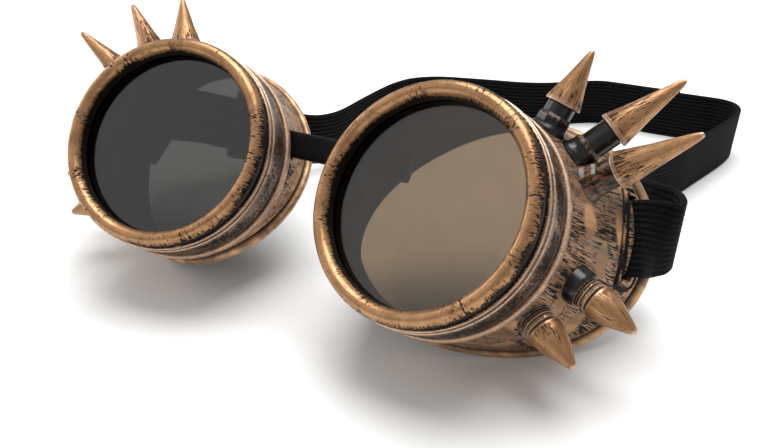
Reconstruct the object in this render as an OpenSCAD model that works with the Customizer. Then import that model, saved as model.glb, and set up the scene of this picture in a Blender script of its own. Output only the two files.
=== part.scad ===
/* [Pose on the table] */
// Half of the distance between the two lens centres
lens_half_spacing = 38.2; // [37:0.1:42]
// Toe-in of each lens, in degrees
toe_in = 9; // [6:0.5:11]
// How far the lenses look up while the goggles lie on a table, in degrees
lie_back = 38.7; // [36:0.1:41]

/* [Lens] */
// Radius of the lens opening that shows
opening_r = 25; // [24.5:0.1:25.5]
// How far the lens reaches under the ring's front edge, all round
lens_lip = 2.4; // [2:0.1:2.6]
// Thickness of the lens
lens_t = 2; // [1.5:0.1:2.4]
// Thickness of the rubber seal behind the lens
seal_t = 1.5; // [1:0.1:2]
// Radial width of the rubber seal
seal_w = 1.8; // [1.4:0.1:1.8]
// Gap between pieces that are screwed together face to face
face_gap = 0.1; // [0.05:0.05:0.2]

/* [Screw ring] */
// Radial clearance between the lens and the ring's skirt
lens_gap = 0.65; // [0.6:0.05:0.8]
// Wall thickness of the ring's band
ring_wall = 1.95; // [1.8:0.05:2.2]
// Half of the depth of the ring's rounded front bead
bead_depth = 2.6; // [2:0.1:3]
// How much smaller the front bead is than the band, in radius
bead_inset = 0.9; // [0.5:0.1:1.2]
// Length of the ring's plain band
band_l = 7.6; // [7:0.1:8.5]
// Depth of the two grooves beside the thin lip
groove_depth = 0.9; // [0.4:0.1:1]
// Width of the two grooves round the ring
groove_w = 0.6; // [0.4:0.1:0.8]
// Width of the thin lip between the grooves
lip_w = 1.1; // [0.8:0.1:1.4]
// Radial clearance between the ring's skirt and the cup's thread
thread_gap = 0.35; // [0.2:0.05:0.5]
// Height of the cup's thread ridges
thread_h = 0.5; // [0.3:0.05:0.6]
// Pitch of the cup's thread ridges
thread_pitch = 1.5; // [1.2:0.1:2]
// Gap between the ring's rear edge and the cup's shoulder
shoulder_gap = 0.9; // [0.5:0.1:1.2]

/* [Eye cup] */
// Wall thickness of the cup
wall = 2.2; // [1.8:0.1:2.6]
// Wall thickness of the cup's threaded neck
neck_wall = 1.6; // [1.4:0.1:2]
// Length of the shoulder lip behind the ring
shoulder_l = 2.1; // [1.5:0.1:2.6]
// Mean depth of the face rim behind the lens opening
rim_depth = 38.5; // [37:0.1:40]
// How much deeper the face rim is towards the temple
rim_rake = 15; // [13:0.1:16]
// How far the face rim bends like a saddle to follow the face
rim_saddle = 4; // [3:0.1:4.5]
// Mean radius of the face rim
rim_r = 33.5; // [33:0.1:34.5]
// How far the face rim widens towards the temple
rim_flare = 5; // [4:0.1:5.5]
// How far the face rim is wider than it is high, each way
rim_oval = 2.4; // [1.5:0.1:3]
// Height of the bead round the face rim
rim_bead = 1.5; // [1:0.1:1.8]
// Width of the bead round the face rim
rim_bead_w = 2.2; // [1.8:0.1:2.4]

/* [Spikes] */
// Lengths of the three long cones: top, upper, side
long_l = [14.5, 19.5, 20];
// Radius of a long cone's base
long_r = 4.6; // [4:0.1:4.8]
// Length of a short spike
short_l = 11; // [9:0.5:13]
// Radius of a short spike
short_r = 4.2; // [3.8:0.1:4.4]
// Radius of the wide part of the posts that carry the long cones
post_r = 4.3; // [3.8:0.1:4.6]
// Radius of the neck of those posts
post_neck_r = 3.5; // [3:0.1:3.6]
// Radius of the rounded tips
tip_r = 0.6; // [0.4:0.1:0.8]
// Radius of the stud that holds a spike in its post
stud_r = 1.5; // [1:0.1:1.8]
// Length of the stud
stud_l = 5; // [4:0.5:6]
// Radial clearance of the stud in its hole
stud_gap = 0.05; // [0.05:0.05:0.1]

/* [Nose bridge] */
// Width of the bridge strap
bridge_w = 7.5; // [6.5:0.1:8]
// Thickness of the bridge strap
bridge_t = 2.2; // [1.8:0.1:2.6]
// Length of the free middle of the bridge strap
bridge_free_l = 9; // [8:0.5:10]
// Gap at each bend of the bridge strap
bend_gap = 0.8; // [0.6:0.1:0.9]
// Thickness of the plug on each end of the bridge strap
plug_t = 5; // [4.6:0.1:5.6]
// Length of the plug
plug_l = 3; // [2.6:0.1:4]
// Play between the plug and the inside of the cup
plug_play = 0.5; // [0.3:0.1:0.8]
// Clearance round the bridge strap in the cup's slot
slot_gap = 0.6; // [0.4:0.1:0.8]

/* [Head strap] */
// Width of the elastic strap
strap_w = 20; // [19:0.5:20.5]
// Thickness of the elastic strap
strap_t = 1.6; // [1.2:0.1:1.6]
// Width of the strap slot, along the cup's depth
slot_w = 4; // [3.4:0.1:4.4]
// Clearance at each end of the strap slot
slot_end_gap = 0.8; // [0.5:0.1:1]
// Thickness of the sewn hem inside the cup
hem_t = 3; // [2.6:0.1:3.4]
// Length of the sewn hem along the cup's depth
hem_l = 6.4; // [5.6:0.1:7]
// Gap between the hem's edges and the inside of the cup
hem_gap = 0.3; // [0.2:0.05:0.5]
// Gap between the strap's two plies where they lap
ply_gap = 0.4; // [0.3:0.1:0.5]
// Gap where the strap folds beside each temple
fold_gap = 0.9; // [0.8:0.05:0.95]
// How far the strap reaches out of its slot before it folds
fold_out = 7.8; // [7:0.1:9]

/* [Strap slider] */
// Length of the slider along the strap
slider_l = 12; // [10:0.5:14]
// Thickness of the slider's bars
slider_bar = 2; // [1.6:0.1:2.4]
// Clearance between the slider and the strap
slider_gap = 0.3; // [0.2:0.05:0.4]

/* [Hidden] */

// Smoothness of full circles, of small circles and of the cup's shell
round_fn = 96;
small_fn = 48;
shell_n = 60;

// Colours
copper = "#9c6b45";
dark_copper = "#5b4636";
smoke = [0.25, 0.25, 0.26, 0.55];
black = "#1b1b1c";

// How far the neck reaches into the body, how much thicker the body's wall is at the front, and
// how far the lip, the body and the shoulder lie inside or outside the ring's radius
neck_lap = 2.4;
wall_extra = 0.8;
lip_inset = 0.5;
body_inset = 0.8;
shoulder_out = 0.6;

// Depths are measured back from the edge of the lens opening, along the cup's axis
lens_front = 2.6;
lens_back = lens_front + lens_t;
seal_front = lens_back + face_gap;
seal_back = seal_front + seal_t;
neck_front = seal_back + face_gap;
lip_front = bead_depth + groove_w;
band_front = lip_front + lip_w + groove_w;
ring_back = band_front + band_l;
shoulder_front = ring_back + shoulder_gap;
shoulder_back = shoulder_front + shoulder_l;
neck_back = shoulder_back + neck_lap;
lens_r = opening_r + lens_lip;
skirt_r = lens_r + lens_gap;
ring_r = skirt_r + ring_wall;
lip_r = ring_r - lip_inset;
groove_r = lip_r - groove_depth;
thread_r = skirt_r - thread_gap;
neck_r = thread_r - thread_h;
bore_r = neck_r - neck_wall;
body_r = ring_r - body_inset;
shoulder_r = ring_r + shoulder_out;
body_front = shoulder_front + shoulder_l / 2;

// The face rim's directions, as clock angles round the cup: 0 is the temple, 90 is up
rake_clock = 30;
saddle_clock = -25;
flare_clock = 25;

// Depth and width of the groove in front of the rim's bead
bead_groove = 0.5;
bead_groove_w = 1.6;
rim_zone = rim_bead_w + bead_groove_w;
// The bead's top and its rear edge: distance from the rim's edge and share of the bead's height
bead_top = 0.4 * rim_bead_w;
bead_edge = 0.3;
bead_edge_h = 0.8;

// Depth and radius of the face rim at a clock angle
function rim_a(p) = rim_depth + rim_rake * cos(p - rake_clock)
    + rim_saddle * cos(2 * (p - saddle_clock));
function rim_rad(p) = rim_r + rim_flare * cos(p - flare_clock)
    + rim_oval * cos(2 * (p - flare_clock));

// Outer radius of the cup's body at a depth and a clock angle
function share(a, p) = max(0, (a - body_front) / (rim_a(p) - body_front));
function body_rad(a, p) = body_r + (rim_rad(p) - body_r) * pow(share(a, p), 0.85);

// A point in the goggles' own frame, laid back on the table, and one given by a cup's depth,
// clock angle and radius
function lay(v) = [
    v.x,
    v.y * cos(lie_back) + v.z * sin(lie_back),
    v.z * cos(lie_back) - v.y * sin(lie_back)
];
function cup_side(a, p, r) = [
    lens_half_spacing + a * sin(toe_in) + r * cos(p) * cos(toe_in),
    a * cos(toe_in) - r * cos(p) * sin(toe_in),
    r * sin(p)
];
// The lens centres stand as high as the lowest point of the rim's bead needs
lens_height = -min([
    for (p = [180 : 3 : 360]) for (q = [[bead_edge, bead_edge_h], [bead_top, 1]])
        lay(cup_side(rim_a(p) - q[0], p, rim_rad(p) + rim_bead * q[1])).z
]);
function cup_point(a, p, r) = lay(cup_side(a, p, r)) + [0, 0, lens_height];

// Depth, clock angle, lean to the rear, lean along the rim and post height of each spike
top_spike = [23, 60, -10, 10, 6.2];
upper_spike = [25, 43.5, 0, 3, 9.5];
side_spike = [25, 30, -16, -2, 7.5];
low_spike = [23, -35, -3, 0, 3.5];
temple_spike = [26.5, -13, 0, -12, 6];
// How deep the posts are sunk into the cup's wall, and the height of their wide part
post_sink = 1.2;
post_wide_h = 3.6;
collar_l = 3.4;
collar_step = 0.5;

// Where the bridge strap crosses the cups: depth and height in the goggles' own frame
bridge_y = 22.5;
bridge_z = 11;
// The plug's inner face lies behind the cup's bore, at the plug's upper corner
plug_top = bridge_z + bridge_w / 2;
plug_side = sqrt(bore_r * bore_r - plug_top * plug_top);
plug_a = (bridge_y + plug_t / 2 - plug_side * sin(toe_in)) / cos(toe_in);
plug_start = lens_half_spacing + plug_a * sin(toe_in) - plug_side * cos(toe_in) + plug_play;

// How much further the hem reaches than the strap, at each edge
hem_spread = 0.3;

// The strap slot's clock angle and depth, and the cup's outer radius there
slot_clock = 14;
slot_a = 45;
slot_r = body_rad(slot_a, slot_clock);
slot_mid = cup_point(slot_a, slot_clock, slot_r);

// The hem's middle, drawn in until its edges clear the cup's wall
hem_half = strap_w / 2 + hem_spread;
hem_turn = asin(hem_half / (slot_r - wall));
hem_wall = min([
    for (p = [slot_clock - hem_turn, slot_clock, slot_clock + hem_turn])
        body_rad(slot_a - hem_l / 2, p)
]) - wall - wall_extra * 0.2;
hem_r = sqrt(hem_wall * hem_wall - hem_half * hem_half) - hem_gap - hem_t / 2;

// The strap's way out of its slot, outwards, to the rear and down, and its turning point beside
// the right temple
fold_way = [1, 0.58, -0.15];
fold = slot_mid + fold_out * fold_way;
// The straps' routes on the table, from each fold to the lap behind: steps outwards and to the
// rear from the fold, and the height of the strap's lower edge
right_route = [
    [0.7, 5.5, 17], [-1.8, 11.5, 16], [-7.8, 17.5, 14.2], [-14.3, 25.5, 11], [-18.8, 36.5, 7.5],
    [-20.3, 49.5, 4], [-18.3, 60.5, 1.4], [-14.3, 69.5, 0.3], [-9.8, 77.5, 0], [-5.8, 86.5, 0],
    [-2.8, 95.5, 0], [0.2, 104.5, 0], [3.2, 113.5, 0], [6, 122.5, 0], [8, 131.5, 0],
    [7.9, 138, 0], [5.5, 142.8, 0], [1, 145.2, 0], [-3.8, 145.5, 0], [-19.8, 145.5, 0],
    [-31.8, 145.5, 0]
];
far_ply = right_route[len(right_route) - 1].y + strap_t + ply_gap;
left_route = [
    [0.7, 5.5, 17], [-1.8, 11.5, 16.2], [-9.8, 18.5, 14.2], [-16.8, 23.4, 11.8], [-23.8, 28.3, 9.4],
    [-30.8, 33.2, 7], [-37.8, 38.1, 4.6], [-43.8, 43.8, 2.8], [-46.8, 51, 1.8], [-47.8, 59.5, 1.2],
    [-47.8, 73.5, 0.8], [-48.3, 89.5, 0.5], [-49.8, 101.5, 0.3], [-53.8, 111.5, 0.1],
    [-62.8, 118.8, 0], [-74.8, 122.5, 0], [-86.8, 125.5, 0], [-97.8, 128, 0],
    [-107.8, 132, 0], [-116.8, 138, 0], [-124.8, 144, 0], [-130.8, far_ply - 0.5, 0],
    [-136.8, far_ply, 0], [-149.8, far_ply, 0], [-163.8, far_ply, 0]
];
// The slider rides on the straight run round this point of the left route
slider_at = 4;

// The part stands on its base's middle, which lies this far from the point between the lenses
middle = [3.2, 84.83, 0];

module placed() {
    translate(-middle) children();
}

// Places a cup's own frame: x to the temple, y up, z out of the lens
module cup_frame() {
    translate([lens_half_spacing, 0, lens_height])
        rotate([-lie_back, 0, 0])
            rotate([0, 0, -toe_in])
                rotate([90, 0, 0])
                    children();
}

// Places the goggles' own frame, with y to the rear
module goggle_frame() {
    translate([0, 0, lens_height])
        rotate([-lie_back, 0, 0])
            children();
}

module left_side() {
    mirror([1, 0, 0]) children();
}

// Turns a profile of radius and depth into a solid of revolution
module lathe(points) {
    rotate_extrude($fn = round_fn)
        polygon([for (q = points) [q[0], -q[1]]]);
}

// Places a spike's own frame on the cup's wall, z along the spike
module on_wall(s) {
    rotate([0, 0, s[1]])
        translate([body_rad(s[0], s[1]) - post_sink, 0, -s[0]])
            rotate([0, 90, 0])
                rotate([0, s[2], 0])
                    rotate([-s[3], 0, 0])
                        children();
}

function arc(cr, ca, rr, ra, from, to, n) = [
    for (i = [0 : n]) let (t = from + (to - from) * i / n) [cr + rr * cos(t), ca - ra * sin(t)]
];

module screw_ring() {
    bead_w = (ring_r - bead_inset - opening_r) / 2;
    color(copper)
        lathe(concat(
            [[opening_r, lens_front - 0.6]],
            arc(opening_r + bead_w, 0.6, bead_w, bead_depth, 180, -50, 24),
            [
                [groove_r, bead_depth + groove_w * 0.4],
                [groove_r, lip_front - groove_w * 0.3],
                [lip_r, lip_front + groove_w * 0.2],
                [lip_r, lip_front + lip_w],
                [groove_r, lip_front + lip_w + groove_w * 0.4],
                [groove_r, band_front - groove_w * 0.3],
                [ring_r - 0.2, band_front + groove_w * 0.3],
                [ring_r, band_front + band_l * 0.4],
                [ring_r - 0.2, ring_back - 0.6],
                [ring_r - 0.7, ring_back],
                [skirt_r, ring_back],
                [skirt_r, lens_front - face_gap],
                [opening_r + 0.6, lens_front - face_gap]
            ]
        ));
}

module lens() {
    bevel = 0.3;
    color(smoke)
        lathe([
            [0, lens_front], [lens_r - bevel, lens_front], [lens_r, lens_front + bevel],
            [lens_r, lens_back - bevel], [lens_r - bevel, lens_back], [0, lens_back]
        ]);
}

module lens_seal() {
    seal_r = lens_r - 0.1;
    color(black)
        lathe([
            [seal_r - seal_w, seal_front], [seal_r, seal_front],
            [seal_r, seal_back], [seal_r - seal_w, seal_back]
        ]);
}

// The cup's threaded neck and shoulder lip, as one turned piece
module cup_neck() {
    ridges = floor((ring_back - neck_front - 1) / thread_pitch);
    lathe(concat(
        [[bore_r, neck_front], [neck_r, neck_front]],
        [for (i = [0 : ridges - 1]) each let (a = neck_front + 0.5 + i * thread_pitch) [
            [neck_r, a], [thread_r, a + thread_pitch * 0.3],
            [thread_r, a + thread_pitch * 0.4], [neck_r, a + thread_pitch * 0.7]
        ]],
        [
            [neck_r, shoulder_front], [shoulder_r - 0.5, shoulder_front],
            [shoulder_r, shoulder_front + 0.5], [shoulder_r, shoulder_back - 0.5],
            [body_r - 0.4, shoulder_back + 0.1], [body_r - wall, neck_back], [bore_r, neck_back]
        ]
    ));
}

// The section of the cup's wall: share of the body's length, distance in front of the rim's
// edge, and radius beside the body's own outer radius
function wall_section() = [
    [0, 0, 0], [0.15, 0, 0], [0.35, 0, 0], [0.6, 0, 0], [0.85, 0, 0], [1, rim_zone, 0],
    [1, rim_zone - 0.7, -bead_groove], [1, rim_bead_w + 0.3, -bead_groove],
    [1, rim_bead_w * 0.85, rim_bead * bead_edge_h], [1, bead_top, rim_bead],
    [1, bead_edge, rim_bead * bead_edge_h], [1, 0, 0.2],
    [1, 0, -wall * 0.7], [1, 0.6, -wall], [0.7, 0, -wall],
    [0.35, 0, -wall - wall_extra * 0.4], [0, 0, -wall - wall_extra]
];

function wall_depth(q, p) = q[0] < 1
    ? body_front + q[0] * (rim_a(p) - rim_zone - body_front)
    : rim_a(p) - q[1];

// The flared body, a shell whose rear edge follows the face
module cup_body() {
    section = wall_section();
    m = len(section);
    points = [
        for (q = section) for (i = [0 : shell_n - 1])
            let (
                p = 360 * i / shell_n,
                a = wall_depth(q, p),
                r = body_rad(a, p) + q[2]
            )
            [r * cos(p), r * sin(p), -a]
    ];
    faces = [
        for (j = [0 : m - 1]) for (i = [0 : shell_n - 1])
            let (
                k = (i + 1) % shell_n, n = (j + 1) % m,
                a = j * shell_n + i, b = j * shell_n + k,
                c = n * shell_n + k, d = n * shell_n + i
            )
            each [[a, b, c], [a, c, d]]
    ];
    polyhedron(points, faces, convexity = 6);
}

module long_post(h) {
    cylinder(r = post_r, h = post_wide_h + post_sink, $fn = small_fn);
    cylinder(r = post_neck_r, h = h + post_sink, $fn = small_fn);
}

module short_post(h) {
    cylinder(r = post_r, h = h + post_sink - collar_l, $fn = small_fn);
}

module stud_hole(h) {
    translate([0, 0, h + post_sink - stud_l])
        cylinder(r = stud_r + stud_gap, h = stud_l + 1, $fn = small_fn);
}

// A flat seat in the cup's wall round the foot of a short spike
module spike_seat(h) {
    translate([0, 0, h + post_sink - collar_l])
        cylinder(r = short_r + stud_gap, h = collar_l, $fn = small_fn);
}

module strap_slot() {
    rotate([0, 0, slot_clock])
        translate([bore_r, -strap_w / 2 - slot_end_gap, -slot_a - slot_w / 2])
            cube([rim_r, strap_w + 2 * slot_end_gap, slot_w]);
}

module bridge_slot() {
    goggle_frame()
        translate([0, bridge_y - bridge_t / 2 - slot_gap, bridge_z - bridge_w / 2 - slot_gap])
            cube([plug_start + 1, bridge_t + 2 * slot_gap, bridge_w + 2 * slot_gap]);
}

module eye_cup() {
    color(dark_copper)
        difference() {
            cup_frame()
                difference() {
                    union() {
                        cup_neck();
                        cup_body();
                        on_wall(top_spike) long_post(top_spike[4]);
                        on_wall(upper_spike) long_post(upper_spike[4]);
                        on_wall(side_spike) long_post(side_spike[4]);
                        on_wall(low_spike) short_post(low_spike[4]);
                        on_wall(temple_spike) short_post(temple_spike[4]);
                    }
                    on_wall(top_spike) stud_hole(top_spike[4]);
                    on_wall(upper_spike) stud_hole(upper_spike[4]);
                    on_wall(side_spike) stud_hole(side_spike[4]);
                    on_wall(low_spike) stud_hole(low_spike[4] - collar_l);
                    on_wall(low_spike) spike_seat(low_spike[4]);
                    on_wall(temple_spike) stud_hole(temple_spike[4] - collar_l);
                    on_wall(temple_spike) spike_seat(temple_spike[4]);
                    strap_slot();
                }
            bridge_slot();
        }
}

// A long cone with a rounded tip on its stud
module long_spike(s, l) {
    base = s[4] + post_sink + face_gap;
    lean = atan(long_r / l);
    color(copper)
        cup_frame()
            on_wall(s)
                translate([0, 0, base])
                    rotate_extrude($fn = small_fn)
                        polygon(concat(
                            [
                                [0, 0.5 - stud_l], [stud_r, 0.5 - stud_l], [stud_r, 0],
                                [long_r - 0.4, 0], [long_r, 0.5]
                            ],
                            [
                                for (t = [lean : 9 : 90])
                                    [tip_r * cos(t), l - tip_r + tip_r * sin(t)]
                            ],
                            [[0, l]]
                        ));
}

// A short bullet-shaped spike on a grooved collar
module short_spike(s) {
    base = s[4] + post_sink - collar_l + face_gap;
    bullet_l = short_l - 1;
    color(copper)
        cup_frame()
            on_wall(s)
                translate([0, 0, base])
                    rotate_extrude($fn = small_fn)
                        polygon(concat(
                            [
                                [0, 0.5 - stud_l], [stud_r, 0.5 - stud_l], [stud_r, 0],
                                [short_r - 0.3, 0], [short_r - 0.3, collar_l * 0.3],
                                [short_r - 0.3 - collar_step, collar_l * 0.38],
                                [short_r - 0.3, collar_l * 0.46], [short_r - 0.3, collar_l * 0.66],
                                [short_r - 0.3 - collar_step, collar_l * 0.76],
                                [short_r, collar_l * 0.9], [short_r, collar_l + 1]
                            ],
                            [
                                for (t = [0.2 : 0.2 : 0.8])
                                    [
                                        short_r * (1 - pow(t, 1.35)) + tip_r * t,
                                        collar_l + 1 + bullet_l * t
                                    ]
                            ],
                            [[tip_r, collar_l + 1 + bullet_l * 0.97], [0, collar_l + 1 + bullet_l]]
                        ));
}

// The free middle of the nose bridge
module bridge_strap() {
    color(black)
        goggle_frame()
            translate([-bridge_free_l / 2, bridge_y - bridge_t / 2, bridge_z - bridge_w / 2])
                cube([bridge_free_l, bridge_t, bridge_w]);
}

// One end of the nose bridge, with the plug that keeps it in the cup
module bridge_plug() {
    start = bridge_free_l / 2 + bend_gap;
    color(black)
        goggle_frame()
            translate([0, bridge_y, bridge_z - bridge_w / 2]) {
                translate([start, -bridge_t / 2, 0])
                    cube([plug_start - start, bridge_t, bridge_w]);
                translate([plug_start, -plug_t / 2, 0])
                    cube([plug_l, plug_t, bridge_w]);
            }
}

function unit(v) = v / norm(v);
function mix(a, b, t) = a * (1 - t) + b * t;

// Corners of a strap's section: its middle, its width's direction and its direction of travel
function section(c, up, along) =
    let (side = unit(cross(up, along)) * strap_t / 2, half = up * strap_w / 2)
    [c - half - side, c + half - side, c + half + side, c - half + side];

// A strap through a list of section middles and width directions
module ribbon(mids, ups) {
    n = len(mids);
    points = [
        for (i = [0 : n - 1])
            each section(mids[i], ups[i], unit(mids[min(i + 1, n - 1)] - mids[max(i - 1, 0)]))
    ];
    faces = concat(
        [[0, 2, 1], [0, 3, 2]],
        [
            for (i = [0 : n - 2]) for (j = [0 : 3])
                let (k = (j + 1) % 4, a = 4 * i + j, b = 4 * i + k, c = a + 4, d = b + 4)
                each [[a, d, c], [a, b, d]]
        ],
        [[4 * n - 4, 4 * n - 3, 4 * n - 2], [4 * n - 4, 4 * n - 2, 4 * n - 1]]
    );
    polyhedron(points, faces, convexity = 8);
}

// A smooth curve through a list of points, with some steps between each two
function curve_point(a, b, c, d, t) = 0.5 * (
    2 * b + (c - a) * t + (2 * a - 5 * b + 4 * c - d) * t * t + (3 * b - a - 3 * c + d) * t * t * t
);
function curve(p, steps) = [
    for (i = [0 : len(p) - 2]) for (s = [0 : steps - 1])
        curve_point(p[max(i - 1, 0)], p[i], p[i + 1], p[min(i + 2, len(p) - 1)], s / steps),
    p[len(p) - 1]
];

// The strap's sewn end: a hem inside the cup, and the ply that comes out of the slot and
// reaches the fold
module strap_end() {
    tangent = unit(cup_point(slot_a, slot_clock + 90, 1) - cup_point(slot_a, 0, 0));
    straight = 1.5;
    leave = cup_point(slot_a + straight / 4, slot_clock, slot_r + straight);
    mids = [
        cup_point(slot_a, slot_clock, hem_r),
        cup_point(slot_a, slot_clock, (hem_r + slot_r) / 2),
        cup_point(slot_a, slot_clock, slot_r),
        leave,
        mix(leave, fold, 0.35),
        mix(leave, fold, 0.7),
        fold
    ];
    turn = [0, 0, 0, 0.1, 0.4, 0.75, 1];
    color(black) {
        ribbon(mids, [for (t = turn) unit(mix(tangent, [0, 0, 1], t))]);
        cup_frame()
            rotate([0, 0, slot_clock])
                translate([hem_r - hem_t / 2, -hem_half, -slot_a - hem_l / 2])
                    cube([hem_t, 2 * hem_half, hem_l]);
    }
}

// Middles of a head strap's sections, from a fold on the given side through its route
function strap_middles(side, route) = [
    [side * (fold.x + 0.3), fold.y + fold_gap + strap_t / 2, fold.z],
    for (q = route) [side * (fold.x + q.x), fold.y + q.y, q.z + strap_w / 2]
];

// Turns a width direction square to the direction of travel
function square_up(t) = unit([0, 0, 1] - t * t.z);

module head_strap(side, route) {
    path = [
        for (q = curve(strap_middles(side, route), 3)) [q.x, q.y, max(q.z, strap_w / 2)]
    ];
    n = len(path);
    ups = [for (i = [0 : n - 1]) square_up(unit(path[min(i + 1, n - 1)] - path[max(i - 1, 0)]))];
    color(black)
        ribbon(path, ups);
}

// A three-bar slide: two bars in front of the strap and a middle bar behind it
module strap_slider() {
    path = strap_middles(-1, left_route);
    ahead = path[slider_at + 2] - path[slider_at];
    height = strap_w + 2 * (slider_gap + slider_bar);
    depth = strap_t + 2 * (slider_gap + slider_bar);
    color(black)
        translate(path[slider_at + 1])
            rotate([0, 0, atan2(ahead.y, ahead.x)])
                rotate([0, -atan2(ahead.z, norm([ahead.x, ahead.y])), 0])
                    difference() {
                        translate([-slider_l / 2, -depth / 2, -height / 2])
                            cube([slider_l, depth, height]);
                        translate([-slider_l / 2 - 1, slider_bar - depth / 2, slider_bar - height / 2])
                            cube([slider_l + 2, strap_t + 2 * slider_gap, height - 2 * slider_bar]);
                        translate([-slider_l / 4, -depth / 2 - 1, slider_bar - height / 2])
                            cube([slider_l / 2, slider_bar + 2, height - 2 * slider_bar]);
                        for (x = [-slider_l / 2 - 1, slider_l / 6])
                            translate([x, depth / 2 - slider_bar - 1, slider_bar - height / 2])
                                cube([slider_l / 3 + 1, slider_bar + 2, height - 2 * slider_bar]);
                    }
}

placed() bridge_strap();
placed() bridge_plug();  // bridge_plug_right
placed() left_side() bridge_plug();  // bridge_plug_left
placed() eye_cup();  // eye_cup_right
placed() left_side() eye_cup();  // eye_cup_left
placed() cup_frame() lens_seal();  // lens_seal_right
placed() left_side() cup_frame() lens_seal();  // lens_seal_left
placed() cup_frame() lens();  // lens_right
placed() left_side() cup_frame() lens();  // lens_left
placed() cup_frame() screw_ring();  // screw_ring_right
placed() left_side() cup_frame() screw_ring();  // screw_ring_left
placed() long_spike(top_spike, long_l[0]);  // long_spike_top_right
placed() long_spike(upper_spike, long_l[1]);  // long_spike_upper_right
placed() long_spike(side_spike, long_l[2]);  // long_spike_side_right
placed() short_spike(low_spike);  // short_spike_low_right
placed() short_spike(temple_spike);  // short_spike_temple_right
placed() left_side() long_spike(top_spike, long_l[0]);  // long_spike_top_left
placed() left_side() long_spike(upper_spike, long_l[1]);  // long_spike_upper_left
placed() left_side() long_spike(side_spike, long_l[2]);  // long_spike_side_left
placed() left_side() short_spike(low_spike);  // short_spike_low_left
placed() left_side() short_spike(temple_spike);  // short_spike_temple_left
placed() strap_end();  // strap_end_right
placed() left_side() strap_end();  // strap_end_left
placed() head_strap(1, right_route);  // head_strap_right
placed() head_strap(-1, left_route);  // head_strap_left
placed() strap_slider();
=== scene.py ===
"""Spiked steampunk goggles lying face up on a pale table, dressed over their CAD frame.

Every size in this file is in millimetres unless its name or property says otherwise. A cup has
its own frame: x to the temple, y up the face, z out of the lens. A depth is measured back from the
lens opening, and a clock angle runs round the cup from the temple, 0, through the brow, 90.
"""
import math
from typing import NamedTuple

import bmesh
import bpy
import numpy as np
from bpy.props import FloatProperty, FloatVectorProperty, IntProperty, PointerProperty
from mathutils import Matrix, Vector


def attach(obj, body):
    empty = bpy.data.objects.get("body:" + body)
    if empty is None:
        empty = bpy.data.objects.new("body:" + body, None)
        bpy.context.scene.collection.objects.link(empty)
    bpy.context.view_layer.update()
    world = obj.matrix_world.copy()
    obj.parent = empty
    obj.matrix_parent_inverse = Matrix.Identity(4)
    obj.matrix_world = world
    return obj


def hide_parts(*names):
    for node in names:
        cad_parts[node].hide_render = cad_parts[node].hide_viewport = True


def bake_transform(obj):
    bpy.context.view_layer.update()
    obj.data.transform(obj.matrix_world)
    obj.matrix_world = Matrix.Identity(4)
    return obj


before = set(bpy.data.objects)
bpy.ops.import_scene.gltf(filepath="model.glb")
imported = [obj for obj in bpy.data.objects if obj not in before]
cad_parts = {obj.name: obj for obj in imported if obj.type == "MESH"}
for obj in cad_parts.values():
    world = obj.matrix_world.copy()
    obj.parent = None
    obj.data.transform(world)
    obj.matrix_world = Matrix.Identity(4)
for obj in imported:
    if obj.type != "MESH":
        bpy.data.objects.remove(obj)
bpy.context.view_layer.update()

bl_info = {
    "name": "Spiked goggles",
    "version": (1, 0, 0),
    "blender": (4, 5, 0),
    "location": "View3D > Sidebar > Goggles",
    "description": "Builds the visible pieces of a pair of spiked goggles over their CAD frame",
    "category": "Add Mesh",
}

MM = 0.001

# The goggles' pose and their main forms, as the CAD source has them
HALF_SPACING = 38.2
TOE_IN = math.radians(9)
LIE_BACK = math.radians(38.7)
LENS_HEIGHT = 45.053
MIDDLE = np.array([3.2, 84.83, 0.0])
OPENING_R = 25.0
LENS_R = 27.4
LENS_DEPTHS = (2.6, 4.6)
SEAL_DEPTHS = (4.7, 6.2)
SEAL_R = (25.5, 27.3)
SKIRT_R = 28.05
RING_R = 30.0
RING_BACK = 12.5
THREAD_PITCH = 1.5
NECK_FRONT = 6.3
NECK_R = 27.2
BORE_R = 25.6
THREAD_END = 12.8
SHOULDER = (13.4, 15.5)
SHOULDER_R = 30.6
BODY_R = 29.2
BODY_FRONT = 14.45
WALL = 2.2
WALL_EXTRA = 0.8
RIM_BEAD = 1.5
RIM_BEAD_W = 2.2
RIM_ZONE = 3.8
WALL_FRONT = 15.6
LAY_R = 32.0
DIRTY = np.array([0.0, 0.0, 1.0])

# Each spike: depth, clock, lean to the rear, lean along the rim, height of its post, cone length
LONG_SPIKES = {
    "top": (23, 60, -10, 10, 6.2, 14.5),
    "upper": (25, 43.5, 0, 3, 9.5, 19.5),
    "side": (25, 30, -16, -2, 7.5, 20),
}
SHORT_SPIKES = {"low": (23, -35, -3, 0, 3.5), "temple": (26.5, -13, 0, -12, 6)}
POST_SINK = 1.2
POST_R = 4.3
POST_FACETS = 8
POST_NECK_R = 3.5
POST_WIDE_H = 3.6
CONE_R = 4.6
BULLET_R = 4.2
BULLET_L = 10.0
COLLAR_L = 3.4
STUD_R = 1.5
STUD_L = 4.5

# The nose bridge, in the goggles' own frame
BRIDGE_Y = 22.5
BRIDGE_Z = 11.0
BRIDGE_W = 7.5
BRIDGE_T = 2.2
PLUG_START = 21.48
PLUG_L = 3.0
PLUG_T = 5.0

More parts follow.
